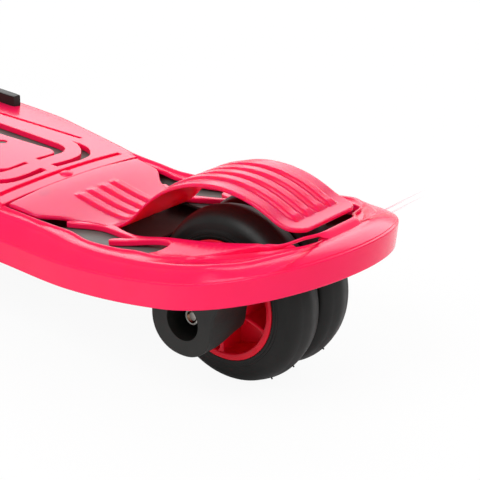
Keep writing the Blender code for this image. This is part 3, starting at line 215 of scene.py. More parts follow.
def plate(name, loops, bottom, top, edge=0.0, segments=3):
    """Flat outline in millimetres with holes, between two heights, its edges rounded."""
    curve = bpy.data.curves.new(name, 'CURVE')
    curve.dimensions = '2D'
    curve.fill_mode = 'BOTH'
    curve.extrude = ((top - bottom) / 2 - edge) * MM
    curve.bevel_depth = edge * MM
    curve.bevel_resolution = segments
    curve.offset = -edge * MM
    for loop in loops:
        spline = curve.splines.new('POLY')
        spline.points.add(len(loop) - 1)
        for point, (x, y) in zip(spline.points, loop):
            point.co = (x * MM, y * MM, 0.0, 1.0)
        spline.use_cyclic_u = True
    obj = new_object(name, curve)
    obj.location.z = (top + bottom) / 2 * MM
    return applied(obj)


def cut(obj, cutter):
    """The object less the cutter, which goes."""
    modifier = obj.modifiers.new("Cut", 'BOOLEAN')
    modifier.operation = 'DIFFERENCE'
    modifier.solver = 'EXACT'
    modifier.object = cutter
    result = applied(obj)
    bpy.data.objects.remove(cutter, do_unlink=True)
    return result


def merged(name, objects):
    """One object that holds the meshes of several, each still a closed shell."""
    body = bmesh.new()
    for obj in objects:
        mesh = obj.data
        mesh.transform(obj.matrix_world)
        body.from_mesh(mesh)
        bpy.data.objects.remove(obj, do_unlink=True)
    mesh = bpy.data.meshes.new(name)
    body.to_mesh(mesh)
    body.free()
    return new_object(name, mesh)


def sliced(body, direction, place, stop, step):
    """Cut a bmesh across a direction at each step, places in millimetres."""
    while place < stop:
        geometry = body.verts[:] + body.edges[:] + body.faces[:]
        bmesh.ops.bisect_plane(body, geom=geometry, dist=0.001 * MM,
                               plane_co=direction * (place * MM), plane_no=direction)
        place += step


def bend(obj, step=5.0):
    """Cut a flat deck piece into strips and bend it to the deck's line, in place."""
    body = bmesh.new()
    body.from_mesh(obj.data)
    low = min(v.co.y for v in body.verts) / MM
    high = max(v.co.y for v in body.verts) / MM
    sliced(body, Vector((0.0, 1.0, 0.0)), step * math.ceil(low / step), high, step)
    for vertex in body.verts:
        vertex.co.z += deck_rise(vertex.co.y / MM) * MM
        vertex.co.y += AXLE_Y
    body.to_mesh(obj.data)
    body.free()
    return obj


def crowned(obj):
    """Lower a platform piece towards its long edges."""
    for vertex in obj.data.vertices:
        share = vertex.co.x / MM / CROWN_HALF_WIDTH
        vertex.co.z -= CROWN * MM * share * share
    return obj


def slice_across(obj, step=8.0):
    """Cut a flat piece into strips along its length, so that it can take a crown."""
    body = bmesh.new()
    body.from_mesh(obj.data)
    sliced(body, Vector((1.0, 0.0, 0.0)), -88.0, 89.0, step)
    body.to_mesh(obj.data)
    body.free()
    return obj


def turned(name, profile, steps, ring=False, matrix=None):
    """Revolve (radius, height) points in millimetres about Z; ring closes the profile."""
    rings = []
    for i in range(steps):
        angle = 2 * math.pi * i / steps
        cosine, sine = math.cos(angle), math.sin(angle)
        rings.append([(r * cosine * MM, r * sine * MM, z * MM) for r, z in profile])
    obj = loft(name, rings, closed=True, open_section=not ring)
    if matrix:
        obj.data.transform(matrix)
    return obj


def arc(centre, radius, start, end, count):
    """Points of an arc in a profile's plane, angles in degrees."""
    points = []
    for i in range(count + 1):
        angle = math.radians(start + (end - start) * i / count)
        points.append((centre[0] + radius * math.cos(angle), centre[1] + radius * math.sin(angle)))
    return points


def rod(name, radius, bottom, top, edge, steps, matrix):
    """Cylinder about Z with rounded rims, moved by a matrix."""
    profile = [(0.0, top)]
    profile += arc((radius - edge, top - edge), edge, 90, 0, 4)
    profile += arc((radius - edge, bottom + edge), edge, 0, -90, 4)
    profile.append((0.0, bottom))
    return turned(name, profile, steps, matrix=matrix)


def block(name, low, high, edge):
    """Box in millimetres with rounded edges."""
    body = bmesh.new()
    bmesh.ops.create_cube(body, size=1.0)
    for vertex in body.verts:
        vertex.co = Vector([(low[i] + (vertex.co[i] + 0.5) * (high[i] - low[i])) * MM for i in range(3)])
    bmesh.ops.bevel(body, geom=body.edges, offset=edge * MM, segments=3, affect='EDGES', profile=0.5)
    mesh = bpy.data.meshes.new(name)
    body.to_mesh(mesh)
    body.free()
    return new_object(name, mesh)


def across(x, y, z, side=1):
    """Matrix that lays a piece turned about Z along X, at a point in metres."""
    return Matrix.Translation((x, y, z)) @ Matrix.Rotation(math.radians(90 * side), 4, 'Y')


def on_steering():
    """Matrix of a frame at the front axle, its Z along the steering axis."""
    return Matrix.Translation(FRONT_AXLE) @ Matrix.Rotation(-STEERING_TILT, 4, 'X')


def shaded(obj, angle=38.0):
    """Smooth shading that keeps edges sharper than an angle in degrees."""
    obj.data.shade_smooth()
    obj.data.set_sharp_from_angle(angle=math.radians(angle))
    weighted = obj.modifiers.new("Weighted normals", 'WEIGHTED_NORMAL')
    weighted.keep_sharp = True
    weighted.weight = 60
    return obj


def dress(obj, material, body, node):
    """Give a piece its material and its body, and hide the frame node that it stands for."""
    obj.data.materials.clear()
    obj.data.materials.append(material)
    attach(obj, body)
    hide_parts(node)


# Materials

class Nodes:
    """A short hand for building a material's nodes."""

    def __init__(self, name):
        self.material = bpy.data.materials.new(name)
        self.material.use_nodes = True
        self.tree = self.material.node_tree
        self.shader = self.tree.nodes["Principled BSDF"]
        self.place = self.tree.nodes.new("ShaderNodeTexCoord").outputs["Object"]

    def node(self, kind, **settings):
        node = self.tree.nodes.new(kind)
        for key, value in settings.items():
            if key in node.inputs:
                node.inputs[key].default_value = value
            else:
                setattr(node, key, value)
        return node

    def link(self, output, target):
        self.tree.links.new(output, target)

    def noise(self, scale, detail=3.0, roughness=0.5, stretch=None):
        noise = self.node("ShaderNodeTexNoise", Scale=scale, Detail=detail, Roughness=roughness)
        source = self.place
        if stretch:
            mapping = self.node("ShaderNodeMapping", Scale=stretch)
            self.link(source, mapping.inputs["Vector"])
            source = mapping.outputs["Vector"]
        self.link(source, noise.inputs["Vector"])
        return noise.outputs["Fac"]

    def colour(self, factor, *stops):
        """Base colour from a ramp over a factor."""
        ramp = self.node("ShaderNodeValToRGB")
        for element, (position, colour) in zip(ramp.color_ramp.elements, stops):
            element.position = position
            element.color = (*colour, 1.0)
        self.link(factor, ramp.inputs["Fac"])
        self.link(ramp.outputs["Color"], self.shader.inputs["Base Color"])

    def roughness(self, factor, low, high):
        """Roughness spread between two values by a factor."""
        spread = self.node("ShaderNodeMapRange")
        spread.inputs["To Min"].default_value = low
        spread.inputs["To Max"].default_value = high
        self.link(factor, spread.inputs["Value"])
        self.link(spread.outputs["Result"], self.shader.inputs["Roughness"])

    def bump(self, height, strength, distance):
        bump = self.node("ShaderNodeBump", Strength=strength, Distance=distance)
        self.link(height, bump.inputs["Height"])
        self.link(bump.outputs["Normal"], self.shader.inputs["Normal"])

    def set(self, **values):
        for key, value in values.items():
            self.shader.inputs[key.replace("_", " ")].default_value = value


def gloss_plastic(name, colour, dark, roughness, specular, glow):
    """Moulded glossy plastic: slight mottle, orange peel and uneven gloss."""
    m = Nodes(name)
    m.colour(m.noise(35.0, 4.0), (0.35, dark), (0.65, colour))
    m.roughness(m.noise(180.0, 5.0), roughness - 0.03, roughness + 0.04)
    m.set(Specular_IOR_Level=specular, Specular_Tint=GLOSS_TINT, Subsurface_Weight=glow,
          Subsurface_Radius=GLOW_RADIUS, Subsurface_Scale=0.01)
    m.bump(m.noise(420.0, 2.0), 0.05, 0.0002)
    return m.material


def satin_plastic(name, colour, light, roughness=0.45):
    """Moulded black plastic with a fine grain."""
    m = Nodes(name)
    m.colour(m.noise(60.0, 4.0), (0.3, colour), (0.75, light))
    m.roughness(m.noise(300.0, 3.0), roughness - 0.06, roughness + 0.08)
    m.bump(m.noise(1600.0, 3.0), 0.18, 0.0002)
    m.set(Specular_IOR_Level=0.3)
    return m.material


def tyre_material():
    """Cast polyurethane: near black and satin, faintly mottled, with a fine grain."""
    m = Nodes("cast_tyre")
    m.colour(m.noise(45.0, 5.0, 0.6), (0.3, (0.004, 0.004, 0.0036)), (0.8, (0.010, 0.0098, 0.009)))
    m.roughness(m.noise(140.0, 6.0, 0.65), 0.34, 0.55)
    m.bump(m.noise(900.0, 4.0), 0.12, 0.0002)
    m.set(Specular_IOR_Level=0.26)
    return m.material


def metal(name, colour, dark, roughness, stretch=None, grain=500.0):
    """Plated, brushed or turned metal; stretch draws the grain out along one direction."""
    m = Nodes(name)
    m.colour(m.noise(80.0, 5.0, 0.6, stretch), (0.25, dark), (0.7, colour))
    m.roughness(m.noise(grain, 4.0, 0.6, stretch), roughness - 0.08, roughness + 0.1)
    m.bump(m.noise(grain, 3.0, 0.6, stretch), 0.06, 0.0001)
    m.set(Metallic=1.0)
    return m.material


def rubber(name):
    """Matt grip rubber with a fine dimpled skin."""
    m = Nodes(name)
    m.colour(m.noise(90.0, 4.0), (0.3, (0.014, 0.014, 0.014)), (0.8, (0.032, 0.032, 0.031)))
    m.roughness(m.noise(400.0, 3.0), 0.6, 0.8)
    cells = m.node("ShaderNodeTexVoronoi", Scale=900.0)
    m.link(m.place, cells.inputs["Vector"])
    m.bump(cells.outputs["Distance"], 0.35, 0.0003)
    return m.material


GLOSS_TINT = (1.0, 0.74, 0.96, 1.0)
GLOW_RADIUS = (1.0, 0.12, 0.10)
PINK, PINK_DARK = (1.0, 0.006, 0.088), (0.96, 0.005, 0.080)
RED = gloss_plastic("deck_gloss_plastic", PINK, PINK_DARK, 0.2, 0.35, 0.2)
BRAKE_RED = gloss_plastic("brake_gloss_plastic", PINK, PINK_DARK, 0.2, 0.33, 1.0)
HUB_RED = gloss_plastic("hub_plastic", (0.86, 0.002, 0.020), (0.76, 0.001, 0.015), 0.3, 0.3, 0.1)
BLACK = satin_plastic("black_plastic", (0.009, 0.009, 0.008), (0.014, 0.014, 0.012))
# Lit copy of the black plastic: the underframe's tray, floor, ribs, flanges and pad are painted grey,
# painted light where strong light lies on the satin black
TRAY_PAINTED_LIGHT = satin_plastic("tray_black_painted_light", (0.10, 0.10, 0.095), (0.13, 0.13, 0.12), 0.5)
TYRE = tyre_material()
# Bronze-tinted metal: a bronze tone on the domed nut, and a painted reflection in the bolt's socket, the
# brownish glint seen there
BRONZE_AND_PAINTED_REFLECTION = metal("bronze_tone_and_painted_reflection", (0.30, 0.17, 0.11), (0.16, 0.08, 0.05), 0.22)
STEEL = metal("zinc_plate", (0.66, 0.64, 0.60), (0.50, 0.48, 0.45), 0.28)
PAINT = satin_plastic("powder_coat", (0.018, 0.018, 0.019), (0.028, 0.028, 0.029), 0.38)
ALUMINIUM = metal("brushed_aluminium", (0.80, 0.80, 0.81), (0.64, 0.64, 0.66), 0.30,
                  (1.0, 1.0, 18.0), 260.0)
RUBBER = rubber("grip_rubber")


# Deck

def half_outline():
    """Points of the +X half of the deck's outline from the nose to the rear, with section keys.

    The key is the distance from the rear axle along the side; round the rear it is the angle
    of the quarter ellipse in degrees, counted on from zero.
    """
    widest_y, widest_x = DECK_HALF_WIDTHS[-1]
    points = []
    for i in range(END_STEPS):
        angle = math.pi / 2 * (1 - i / END_STEPS)
        x = widest_x * math.cos(angle) ** (2 / DECK_NOSE_FULLNESS)
        y = widest_y - (widest_y - DECK_NOSE) * math.sin(angle) ** (2 / DECK_NOSE_FULLNESS)
        points.append(((0.0 if i == 0 else x), y, y))
    y = widest_y
    while y < -0.01:
        points.append((smooth_line(y, DECK_HALF_WIDTHS, flat_ends=True), y, y))
        y += SIDE_STEP
    for i in range(END_STEPS + 1):
        angle = math.pi / 2 * i / END_STEPS
        x = DECK_HALF_WIDTHS[0][1] * math.cos(angle)
        points.append(((0.0 if i == END_STEPS else x), REAR_OVERHANG * math.sin(angle),
                       math.degrees(angle)))
    return points


def deck_stations():
    """All stations round the deck: x, y, key and the inward normal."""
    half = half_outline()
    ring = half + [(-x, y, key) for x, y, key in half[-2:0:-1]]
    count = len(ring)
    stations = []
    for i, (x, y, key) in enumerate(ring):
        before, after = ring[i - 1], ring[(i + 1) % count]
        tangent = Vector((after[0] - before[0], after[1] - before[1])).normalized()
        stations.append((x, y, key, -tangent.y, tangent.x))
    return stations


# Insets and heights of the rim's section round the deck: top of the outer slope, crest, channel
# and inner edge
SLOPE_INSET = ((-274.0, 5.5), (-240.0, 6.0), (-207.0, 8.4), (-164.0, 8.0), (-143.0, 9.0),
               (-137.0, 6.5), (-105.0, 8.2), (-87.0, 7.6), (-60.0, 5.6), (-15.0, 5.2), (5.0, 5.5),
               (15.0, 5.8), (31.0, 8.5), (48.0, 10.5), (65.0, 12.8), (90.0, 13.5))
CREST_INSET = ((-274.0, 8.5), (-240.0, 9.0), (-207.0, 11.4), (-164.0, 11.0), (-143.0, 12.0),
               (-137.0, 9.3), (-130.0, 9.0), (-105.0, 11.2), (-87.0, 10.9), (-60.0, 8.8),
               (-15.0, 8.2), (5.0, 8.3), (15.0, 8.8), (31.0, 11.5), (48.0, 14.5), (65.0, 16.2),
               (90.0, 16.6))
EDGE_INSET = ((-274.0, 14.0), (-207.0, 15.6), (-143.0, 15.6), (-139.0, 14.9), (-117.0, 15.8),
              (-105.0, 18.0), (-93.0, 19.6), (-68.0, 16.8), (-47.0, 17.5), (-38.0, 19.0),
              (-20.0, 17.5), (-5.0, 19.5), (6.0, 22.5), (16.0, 23.6), (28.0, 24.0), (38.0, 22.6),
              (48.0, 20.2), (55.5, 18.8), (60.0, 17.8), (71.0, 17.4), (76.0, 18.6), (90.0, 20.2))
SLOPE_HEIGHT = ((-274.0, 24.6), (-207.0, 25.3), (-150.0, 26.6), (-143.0, 26.6), (-137.0, 25.2),
                (-105.0, 24.0), (-75.0, 22.2), (-50.0, 21.0), (-15.0, 20.5), (5.0, 20.7),
                (15.0, 20.7), (31.0, 19.5), (48.0, 19.7), (65.0, 20.0), (90.0, 20.2))
CREST_HEIGHT = ((-143.0, 28.4), (-139.0, 27.2), (-130.0, 27.0), (-105.0, 26.0), (-75.0, 24.3),
                (-50.0, 23.4), (-15.0, 22.9), (5.0, 22.9), (15.0, 22.7), (31.0, 21.3),
                (48.0, 21.5), (65.0, 21.0), (90.0, 20.8))
CHANNEL_HEIGHT = ((-130.0, 25.6), (-105.0, 24.2), (-75.0, 22.6), (-50.0, 21.8), (5.0, 21.4),
                  (31.0, 20.2), (48.0, 20.8), (90.0, 20.0))
EDGE_HEIGHT = ((-139.0, 27.3), (-117.0, 26.3), (-105.0, 25.2), (-93.0, 24.6), (-75.0, 23.6),
               (-50.0, 23.2), (-15.0, 22.9), (15.0, 22.9), (31.0, 22.8), (48.0, 22.2),
               (65.0, 21.0), (90.0, 20.6))
FLUSH = ((0.0, 0.0),)
FRONT_START = -143.0
FRONT_END = -139.5
SKIRT = ((1.2, 0.0), (0.5, 0.05), (0.1, 0.35), (0.0, 0.9), (-0.4, 7.0), (-0.75, 13.4), (-0.7, 14.1),
         (-0.45, 14.55), (0.0, 14.8), (0.45, 14.95), (0.75, 15.2), (0.95, 15.7))
SLOPE_STEPS = 8
RIM_WALL = 2.6
HAIR = 0.03


def platform_surface(x):
    """Height of the crowned platform at a distance from the deck's middle."""
    return PLATFORM_HEIGHT - CROWN * (x / CROWN_HALF_WIDTH) ** 2


def rim_section(key, half_width):
    """Section of the rim as (inset, height) points, from the skirt's foot over the crest and back.

    In front of the parting line the part inside the crest follows the platform's crown, a hair
    below it.
    """
    front = 0.0 if key > 0.0 else smooth_step(key, FRONT_END, FRONT_START)

    def level(inset, height):
        flush = platform_surface(half_width - inset) - HAIR
        return (inset, height + (flush - height) * front)

    slope = table(key, SLOPE_INSET)
    crest = table(key, CREST_INSET)
    edge = table(key, EDGE_INSET)
    slope_h = table(key, SLOPE_HEIGHT)
    crest_h = level(crest, table(key, CREST_HEIGHT))[1]
    channel_h = table(key, CHANNEL_HEIGHT)
    edge_h = table(key, EDGE_HEIGHT)
    points = list(SKIRT)
    foot, foot_h = SKIRT[-1]
    for i in range(1, SLOPE_STEPS + 1):
        t = i / SLOPE_STEPS
        points.append((foot + (slope - foot) * t, foot_h + (slope_h - foot_h) * (1 - (1 - t) ** 1.5)))
    width, rise = crest - slope, crest_h - slope_h
    for across_share, up_share in ((0.12, 0.22), (0.3, 0.5), (0.44, 0.62), (0.47, 0.73), (0.7, 0.9),
                                   (1.0, 1.0)):
        points.append((slope + width * across_share, slope_h + rise * up_share))
    drop = crest_h - channel_h
    reach = min(3.2, 0.45 * (edge - crest))
    points.append(level(crest + 0.18 * reach, crest_h - 0.05 * drop))
    for out, share in ((0.35, 0.3), (0.55, 0.7), (0.78, 0.94), (1.0, 1.0)):
        points.append(level(crest + reach * out, crest_h - share * drop))
    reach = min(1.9, 0.4 * (edge - crest))
    lift = edge_h - channel_h
    for out, share in ((1.0, 0.0), (0.74, 0.12), (0.53, 0.55), (0.32, 0.9), (0.05, 1.0)):
        points.append(level(edge - reach * out, channel_h + share * lift))
    points += [level(edge + 0.4, edge_h - 0.08), level(edge + 0.8, edge_h - 0.4)]
    inner = edge + 0.95
    under = min(channel_h, crest_h) - 1.5
    bottom = min(edge_h - 2.2, under - 0.2)
    wall = min(RIM_WALL, 0.4 * (inner - slope))
    points += [(inner, edge_h - 0.9), (inner, bottom + 0.4), (inner - 0.4, bottom),
               (inner - wall, bottom), (inner - wall - 0.3, under), (slope + wall, under),
               (RIM_WALL + 1.0, foot_h - 0.5), (RIM_WALL, foot_h - 2.0), (RIM_WALL, 0.3),
               (RIM_WALL - 0.4, 0.0)]
    return points


def make_rim():
    rings = []
    for x, y, key, inward_x, inward_y in deck_stations():
        rings.append([deck_point(x + inward_x * inset, y + inward_y * inset, height)
                      for inset, height in rim_section(key, abs(x))])
    return loft("deck_rim", rings, closed=True)


def inset_loop(extra, insets=EDGE_INSET):
    """Outline at a line of the rim's section, or of the deck's with FLUSH, plus an inset."""
    loop = []
    for x, y, key, inward_x, inward_y in deck_stations():
        inset = table(key, insets) + extra
        loop.append((x + inward_x * inset, y + inward_y * inset))
    return loop


def clipped(outline, line, rear):
    """The part of an outline behind (rear) or ahead of a line across the deck."""
    kept = []
    count = len(outline)
    for i, (x, y) in enumerate(outline):
        x1, y1 = outline[(i + 1) % count]
        if (y >= line) == rear:
            kept.append((x, y))
        if (y < line) != (y1 < line):
            t = (line - y) / (y1 - y)
            kept.append((x + t * (x1 - x), line))
    return kept


SLOT_MIDDLE = -262.0
CORNER_SLOT_OUTER = ((4.5, -159.2), (14.0, -158.7), (24.0, -158.6), (32.6, -160.5), (38.2, -164.8),
                     (43.4, -172.0), (45.5, -180.0), (45.4, -187.6))
CORNER_SLOT_INNER = ((44.6, -183.0), (39.2, -174.2), (32.2, -167.1), (25.3, -164.0),
                     (15.4, -163.2), (4.5, -164.4))
SIDE_SLOT_OUTER = ((4.5, -175.6), (14.0, -175.7), (22.5, -175.9), (28.0, -177.9), (32.0, -181.6),
                   (34.2, -188.6), (34.5, -198.0), (34.4, -257.5))
SIDE_SLOT_INNER = ((19.0, -257.5), (19.8, -228.9), (22.6, -195.0), (23.6, -186.0), (21.4, -180.0),
                   (17.0, -178.0), (4.5, -178.7))
GRIP_HOLE_RADIUS = 3.0
GRIP_HOLE_X = 10.3
GRIP_HOLE_PITCH = 46.0
GROOVE_LINE = -152.2
GROOVE_WIDTH = 4.0
GROOVE_DEPTH = 1.8
GROOVE_HALF_LENGTH = 52.0
SIDE_GROOVE = ((56.0, -190.0), (51.2, -265.0), (48.5, -330.0))
SIDE_GROOVE_WIDTH = 2.6
FLOOR_OVERLAP = 3.0      # how far a groove's floor reaches past its walls
PLATFORM_THICKNESS = 4.0
PLATFORM_OVERLAP = 3.4
STUD_LINE = -146.6


def slot_loops():
    """Outlines of the through slots, mirrored about the middle line and the slots' middle."""
    loops = []
    for outer, inner in ((CORNER_SLOT_OUTER, CORNER_SLOT_INNER), (SIDE_SLOT_OUTER, SIDE_SLOT_INNER)):
        shape = through(outer, 4) + through(inner, 4)
        for side in (1, -1):
            for end in (1, -1):
                loops.append([(side * x, SLOT_MIDDLE + end * (y - SLOT_MIDDLE)) for x, y in shape])
    return loops


def circle(x, y, radius, steps=40):
    return arc((x, y), radius, 0, 360 * (steps - 1) / steps, steps - 1)


def grip_holes(radius):
    """Outlines of the six round holes between the slots."""
    loops = []
    for row in (-1, 0, 1):
        for side in (1, -1):
            loops.append(circle(side * GRIP_HOLE_X, SLOT_MIDDLE + row * GRIP_HOLE_PITCH, radius))
    return loops


def groove_loops():
    """Outlines of the grooves: one across the deck, and one along each side."""
    half, low, high = GROOVE_HALF_LENGTH, GROOVE_LINE - GROOVE_WIDTH / 2, GROOVE_LINE + GROOVE_WIDTH / 2
    loops = [[(half, low), (half, high), (-half, high), (-half, low)]]
    for side in (1, -1):
        outer = [(side * x, y) for x, y in SIDE_GROOVE]
        inner = [(side * (x - SIDE_GROOVE_WIDTH), y) for x, y in reversed(SIDE_GROOVE)]
        loops.append(outer + inner)
    return loops


def make_platform():
    outline = clipped(inset_loop(PLATFORM_OVERLAP, CREST_INSET), PARTING_LINE - 0.2, rear=False)
    loops = [outline] + slot_loops()
    loops += grip_holes(GRIP_HOLE_RADIUS)
    pieces = [plate("platform_top", loops + groove_loops(), PLATFORM_HEIGHT - PLATFORM_THICKNESS,
                    PLATFORM_HEIGHT, 0.5, 2)]
    for loop in groove_loops():
        middle = Vector((sum(p[0] for p in loop) / len(loop), sum(p[1] for p in loop) / len(loop)))
        wider = []
        for x, y in loop:
            wider.append((x + math.copysign(FLOOR_OVERLAP, x - middle.x),
                          y + math.copysign(FLOOR_OVERLAP, y - middle.y)))
        pieces.append(plate("groove_floor", [wider], PLATFORM_HEIGHT - PLATFORM_THICKNESS + 0.2,
                            PLATFORM_HEIGHT - GROOVE_DEPTH))
    platform = merged("deck_platform", pieces)
    return bend(crowned(slice_across(platform)))


CLAW_ROOT = [(54.0, -28.5), (50.5, -24.6), (47.0, -22.4), (44.6, -22.2)]
SHORT_CLAW_NEAR = [(42.6, -26.0), (42.0, -33.0), (42.6, -41.0), (45.0, -50.0), (48.0, -57.0),
                   (50.0, -62.0)]
SHORT_CLAW_FAR = [(48.6, -63.6), (46.0, -62.4), (43.4, -58.0), (41.6, -53.0), (40.8, -52.0)]
LONG_CLAW_NEAR = [(39.6, -56.0), (37.6, -65.0), (35.6, -75.0), (35.0, -83.0), (36.6, -90.0),
                  (39.6, -97.0), (42.0, -103.0)]
LONG_CLAW_FAR = [(40.4, -104.8), (37.4, -101.4), (35.0, -96.0), (33.2, -90.0), (32.0, -84.5)]
BARB = [(30.6, -87.0), (29.2, -91.0), (29.0, -85.0), (30.0, -76.0), (33.0, -67.0)]
WELL_EDGE = [(35.4, -58.0), (37.0, -45.0), (37.8, -20.0), (38.0, 0.0), (38.0, 20.0), (37.6, 33.0)]
LIP = [(37.6, 33.0), (36.6, 38.0), (34.8, 42.6), (31.5, 44.6), (28.0, 45.4), (22.0, 47.0),
       (19.5, 48.8), (17.0, 51.2), (13.0, 52.5), (6.0, 52.8), (0.0, 52.8)]
LIP_HEIGHT = 24.7
# Sections of the lip as (distance outward, depth below its top): over the leaf holes, and between
LIP_STRAP = ((0.1, 1.9), (0.0, 1.0), (0.1, 0.4), (0.4, 0.1), (0.8, 0.0), (1.2, 0.1), (1.5, 0.4),
             (1.65, 0.9), (1.7, 1.3), (1.65, 1.6), (1.5, 1.9))
LIP_FLANK = ((0.1, 1.9), (0.0, 1.0), (0.1, 0.4), (0.4, 0.1), (0.8, 0.0), (1.4, 0.1), (2.4, 0.6),
             (4.0, 1.9), (5.6, 3.4), (6.6, 4.2), (3.0, 4.4))
LEAF_OUTER = [(30.6, 46.0), (29.6, 50.2), (26.2, 52.8), (22.6, 54.6), (18.8, 56.2), (14.8, 56.0)]
LEAF_INNER = [(14.8, 55.6), (17.4, 53.2), (20.2, 50.4), (22.6, 48.7), (27.4, 47.2), (30.6, 46.0)]
LEAF_UNDERCUT = 2.6      # how far the hole reaches in below the lip
BARB_DROP = 4.2          # how far the claw's inner barb dips under the brake's panel
SHELF_RISE = 2.8         # how much higher the shelf's edge beside the wheels lies than its root


def shelf_half():
    """Half outline of the wheel opening's edge with its claws, from front to rear."""
    line = through(CLAW_ROOT, 5)
    line += through(SHORT_CLAW_NEAR, 5)
    line += through(SHORT_CLAW_FAR, 4)
    line += through(LONG_CLAW_NEAR, 5)
    line += through(LONG_CLAW_FAR, 4)
    line += through(BARB[:2], 2)
    line += through(BARB[2:] + WELL_EDGE, 5)[1:]
    line += through(LIP, 5)[1:]
    return line


def make_shelf():
    """Shelf round the wheels: its outer edge on the rim, its inner edge with claws and lip."""
    outer = [(x, y) for x, y in inset_loop(-0.3) if x >= 0.0 and y > -26.0]
    outer.sort(key=lambda p: p[1] if p[0] > 1.0 else 200.0)
    loop = both_sides(shelf_half()[::-1] + outer)
    shelf = slice_across(plate("deck_shelf", [loop], SHELF_HEIGHT - 3.6, SHELF_HEIGHT, 0.9, 3), 4.0)
    bend(shelf, 4.0)
    for vertex in shelf.data.vertices:
        x, y = abs(vertex.co.x / MM), (vertex.co.y - AXLE_Y) / MM
        beside = smooth_step(y, -58.0, -24.0) * (1.0 - smooth_step(y, 30.0, 46.0))
        rise = SHELF_RISE * smooth_step(x, 54.0, 38.5) * beside
        drop = 0.9 * beside * smooth_step(x, 44.0, 54.0) + 2.4 * smooth_step(y, 42.0, 56.0)
        tucked = BARB_DROP * smooth_step(y, -80.0, -87.0) * smooth_step(x, 34.5, 32.0)
        vertex.co.z += (rise - drop - tucked) * MM
    return shelf


def make_lip():
    """Raised edge along the rear of the wheel opening, from one side to the other."""
    path = both_sides(through(LIP, 6))
    rings = []
    count = len(path)
    for i, (x, y) in enumerate(path):
        before, after = path[max(i - 1, 0)], path[min(i + 1, count - 1)]
        tangent = Vector((after[0] - before[0], after[1] - before[1])).normalized()
        outward = Vector((tangent.y, -tangent.x))
        if outward.dot(Vector((x, y - 10.0))) < 0:
            outward = -outward
        grown = smooth_step(y, 34.0, 46.0)
        level = LIP_HEIGHT + 1.4 * (1.0 - grown) - 0.6 * (1.0 - smooth_step(y, 33.0, 38.0))
        flank = smooth_step(abs(x), 16.5, 12.5)
        section = []
        for (strap, low), (broad, deep) in zip(LIP_STRAP, LIP_FLANK):
            section.append((strap + (broad - strap) * flank, level - low - (deep - low) * flank))
        rings.append([deck_point(x + outward.x * out, y + outward.y * out, height)
                      for out, height in section])
    return loft("deck_lip", rings)


def stud():
    """Low domed stud behind the groove."""
    profile = [(0.0, 1.5), (1.5, 1.4), (2.8, 1.1), (3.7, 0.6), (4.2, 0.0), (4.2, -2.5), (0.0, -2.5)]
    place = Matrix.Translation(deck_point(0.0, STUD_LINE, PLATFORM_HEIGHT))
    return turned("stud", profile, 48, matrix=place)


def make_deck():
    shelf = make_shelf()
    inner = [(x - 0.3 * LEAF_UNDERCUT, y - LEAF_UNDERCUT) for x, y in LEAF_INNER]
    for side in (1, -1):
        loop = [(side * x, y) for x, y in through(LEAF_OUTER, 5) + through(inner, 5)]
        shelf = cut(shelf, bend(plate("leaf", [loop], 14.0, 30.0)))
    deck = [make_rim(), make_platform(), shelf, make_lip(), stud()]
    names = ("deck_rim", "deck_platform", "deck_shelf", "deck_lip", "deck_stud")
    for piece, name in zip(deck, names):
        piece.name = name
        dress(shaded(piece), RED, "deck", "deck_shell")


# Brake

BRAKE_THICKNESS = 2.4
BRAKE_ARCH_RADIUS = 76.3
BRAKE_ARCH_CENTRE = (-1.8, -12.4)
BRAKE_TAIL_END = (49.0, 53.6)
BRAKE_DIP = 6.8
BRAKE_DIP_END = -84.0
BRAKE_ARCH_START, BRAKE_ARCH_END = -61.0, 31.0
BRAKE_STEP = 2.0
TAIL_FINE = 9.3          # length of the tail whose stations crowd towards its end
TAIL_CORNER = 10.5
TAIL_ROUND = 1.2         # length over which the tail's end thins
BRAKE_SIDE_HALF = 20.0   # the sheet is finely divided inside this half width, for its ribs
KNUCKLE_X = 28.0
BRAKE_RIB_SPACING = 9.7
BRAKE_RIB_TOP = 2.1
BRAKE_RIB_FLANK = 2.0
BRAKE_RIB_HEIGHT = 1.7
BRAKE_RIB_START = -121.0
BRAKE_RIB_END = 40.0
HINGE_LINE = -136.4
HINGE_DROP = 8.0
BRAKE_EDGE = ((-140.1, 53.7), (-131.0, 52.9), (-122.0, 52.0), (-119.0, 51.4), (-115.0, 48.4),
              (-106.4, 40.6), (-100.0, 37.9), (-94.3, 34.8), (-88.7, 31.8), (-77.0, 29.6), (-68.0, 27.4),
              (-60.0, 27.0), (52.0, 27.0))


def brake_top(along):
    """Height of the brake's top above the rear axle: panel, dip, arch and flattened tail."""
    centre_y, centre_z = BRAKE_ARCH_CENTRE
    panel = deck_rise(PARTING_LINE) + PLATFORM_HEIGHT - AXLE_Z / MM

    def arch(y):
        return centre_z + math.sqrt(BRAKE_ARCH_RADIUS ** 2 - (y - centre_y) ** 2)

    def slope(y):
        return -(y - centre_y) / (arch(y) - centre_z)

    if along <= BRAKE_DIP_END:
        t = (along - PARTING_LINE) / (BRAKE_DIP_END - PARTING_LINE)
        return panel - BRAKE_DIP * (3 * t ** 2 - 2 * t ** 3)
    if along < BRAKE_ARCH_START:
        return hermite(along, BRAKE_DIP_END, BRAKE_ARCH_START, panel - BRAKE_DIP,
                       arch(BRAKE_ARCH_START), 0.0, slope(BRAKE_ARCH_START))
    if along <= BRAKE_ARCH_END:
        return arch(along)
    end_y, end_z = BRAKE_TAIL_END
    return hermite(along, BRAKE_ARCH_END, end_y, arch(BRAKE_ARCH_END), end_z, slope(BRAKE_ARCH_END), 0.0)


def brake_half_width(along):
    """Half the brake's width at a station, the tail's corners rounded."""
    width = smooth_line(along, BRAKE_EDGE)
    left = BRAKE_TAIL_END[0] - along
    if left < TAIL_CORNER:
        width -= TAIL_CORNER - math.sqrt(max(TAIL_CORNER ** 2 - (TAIL_CORNER - left) ** 2, 0.0))
    return width


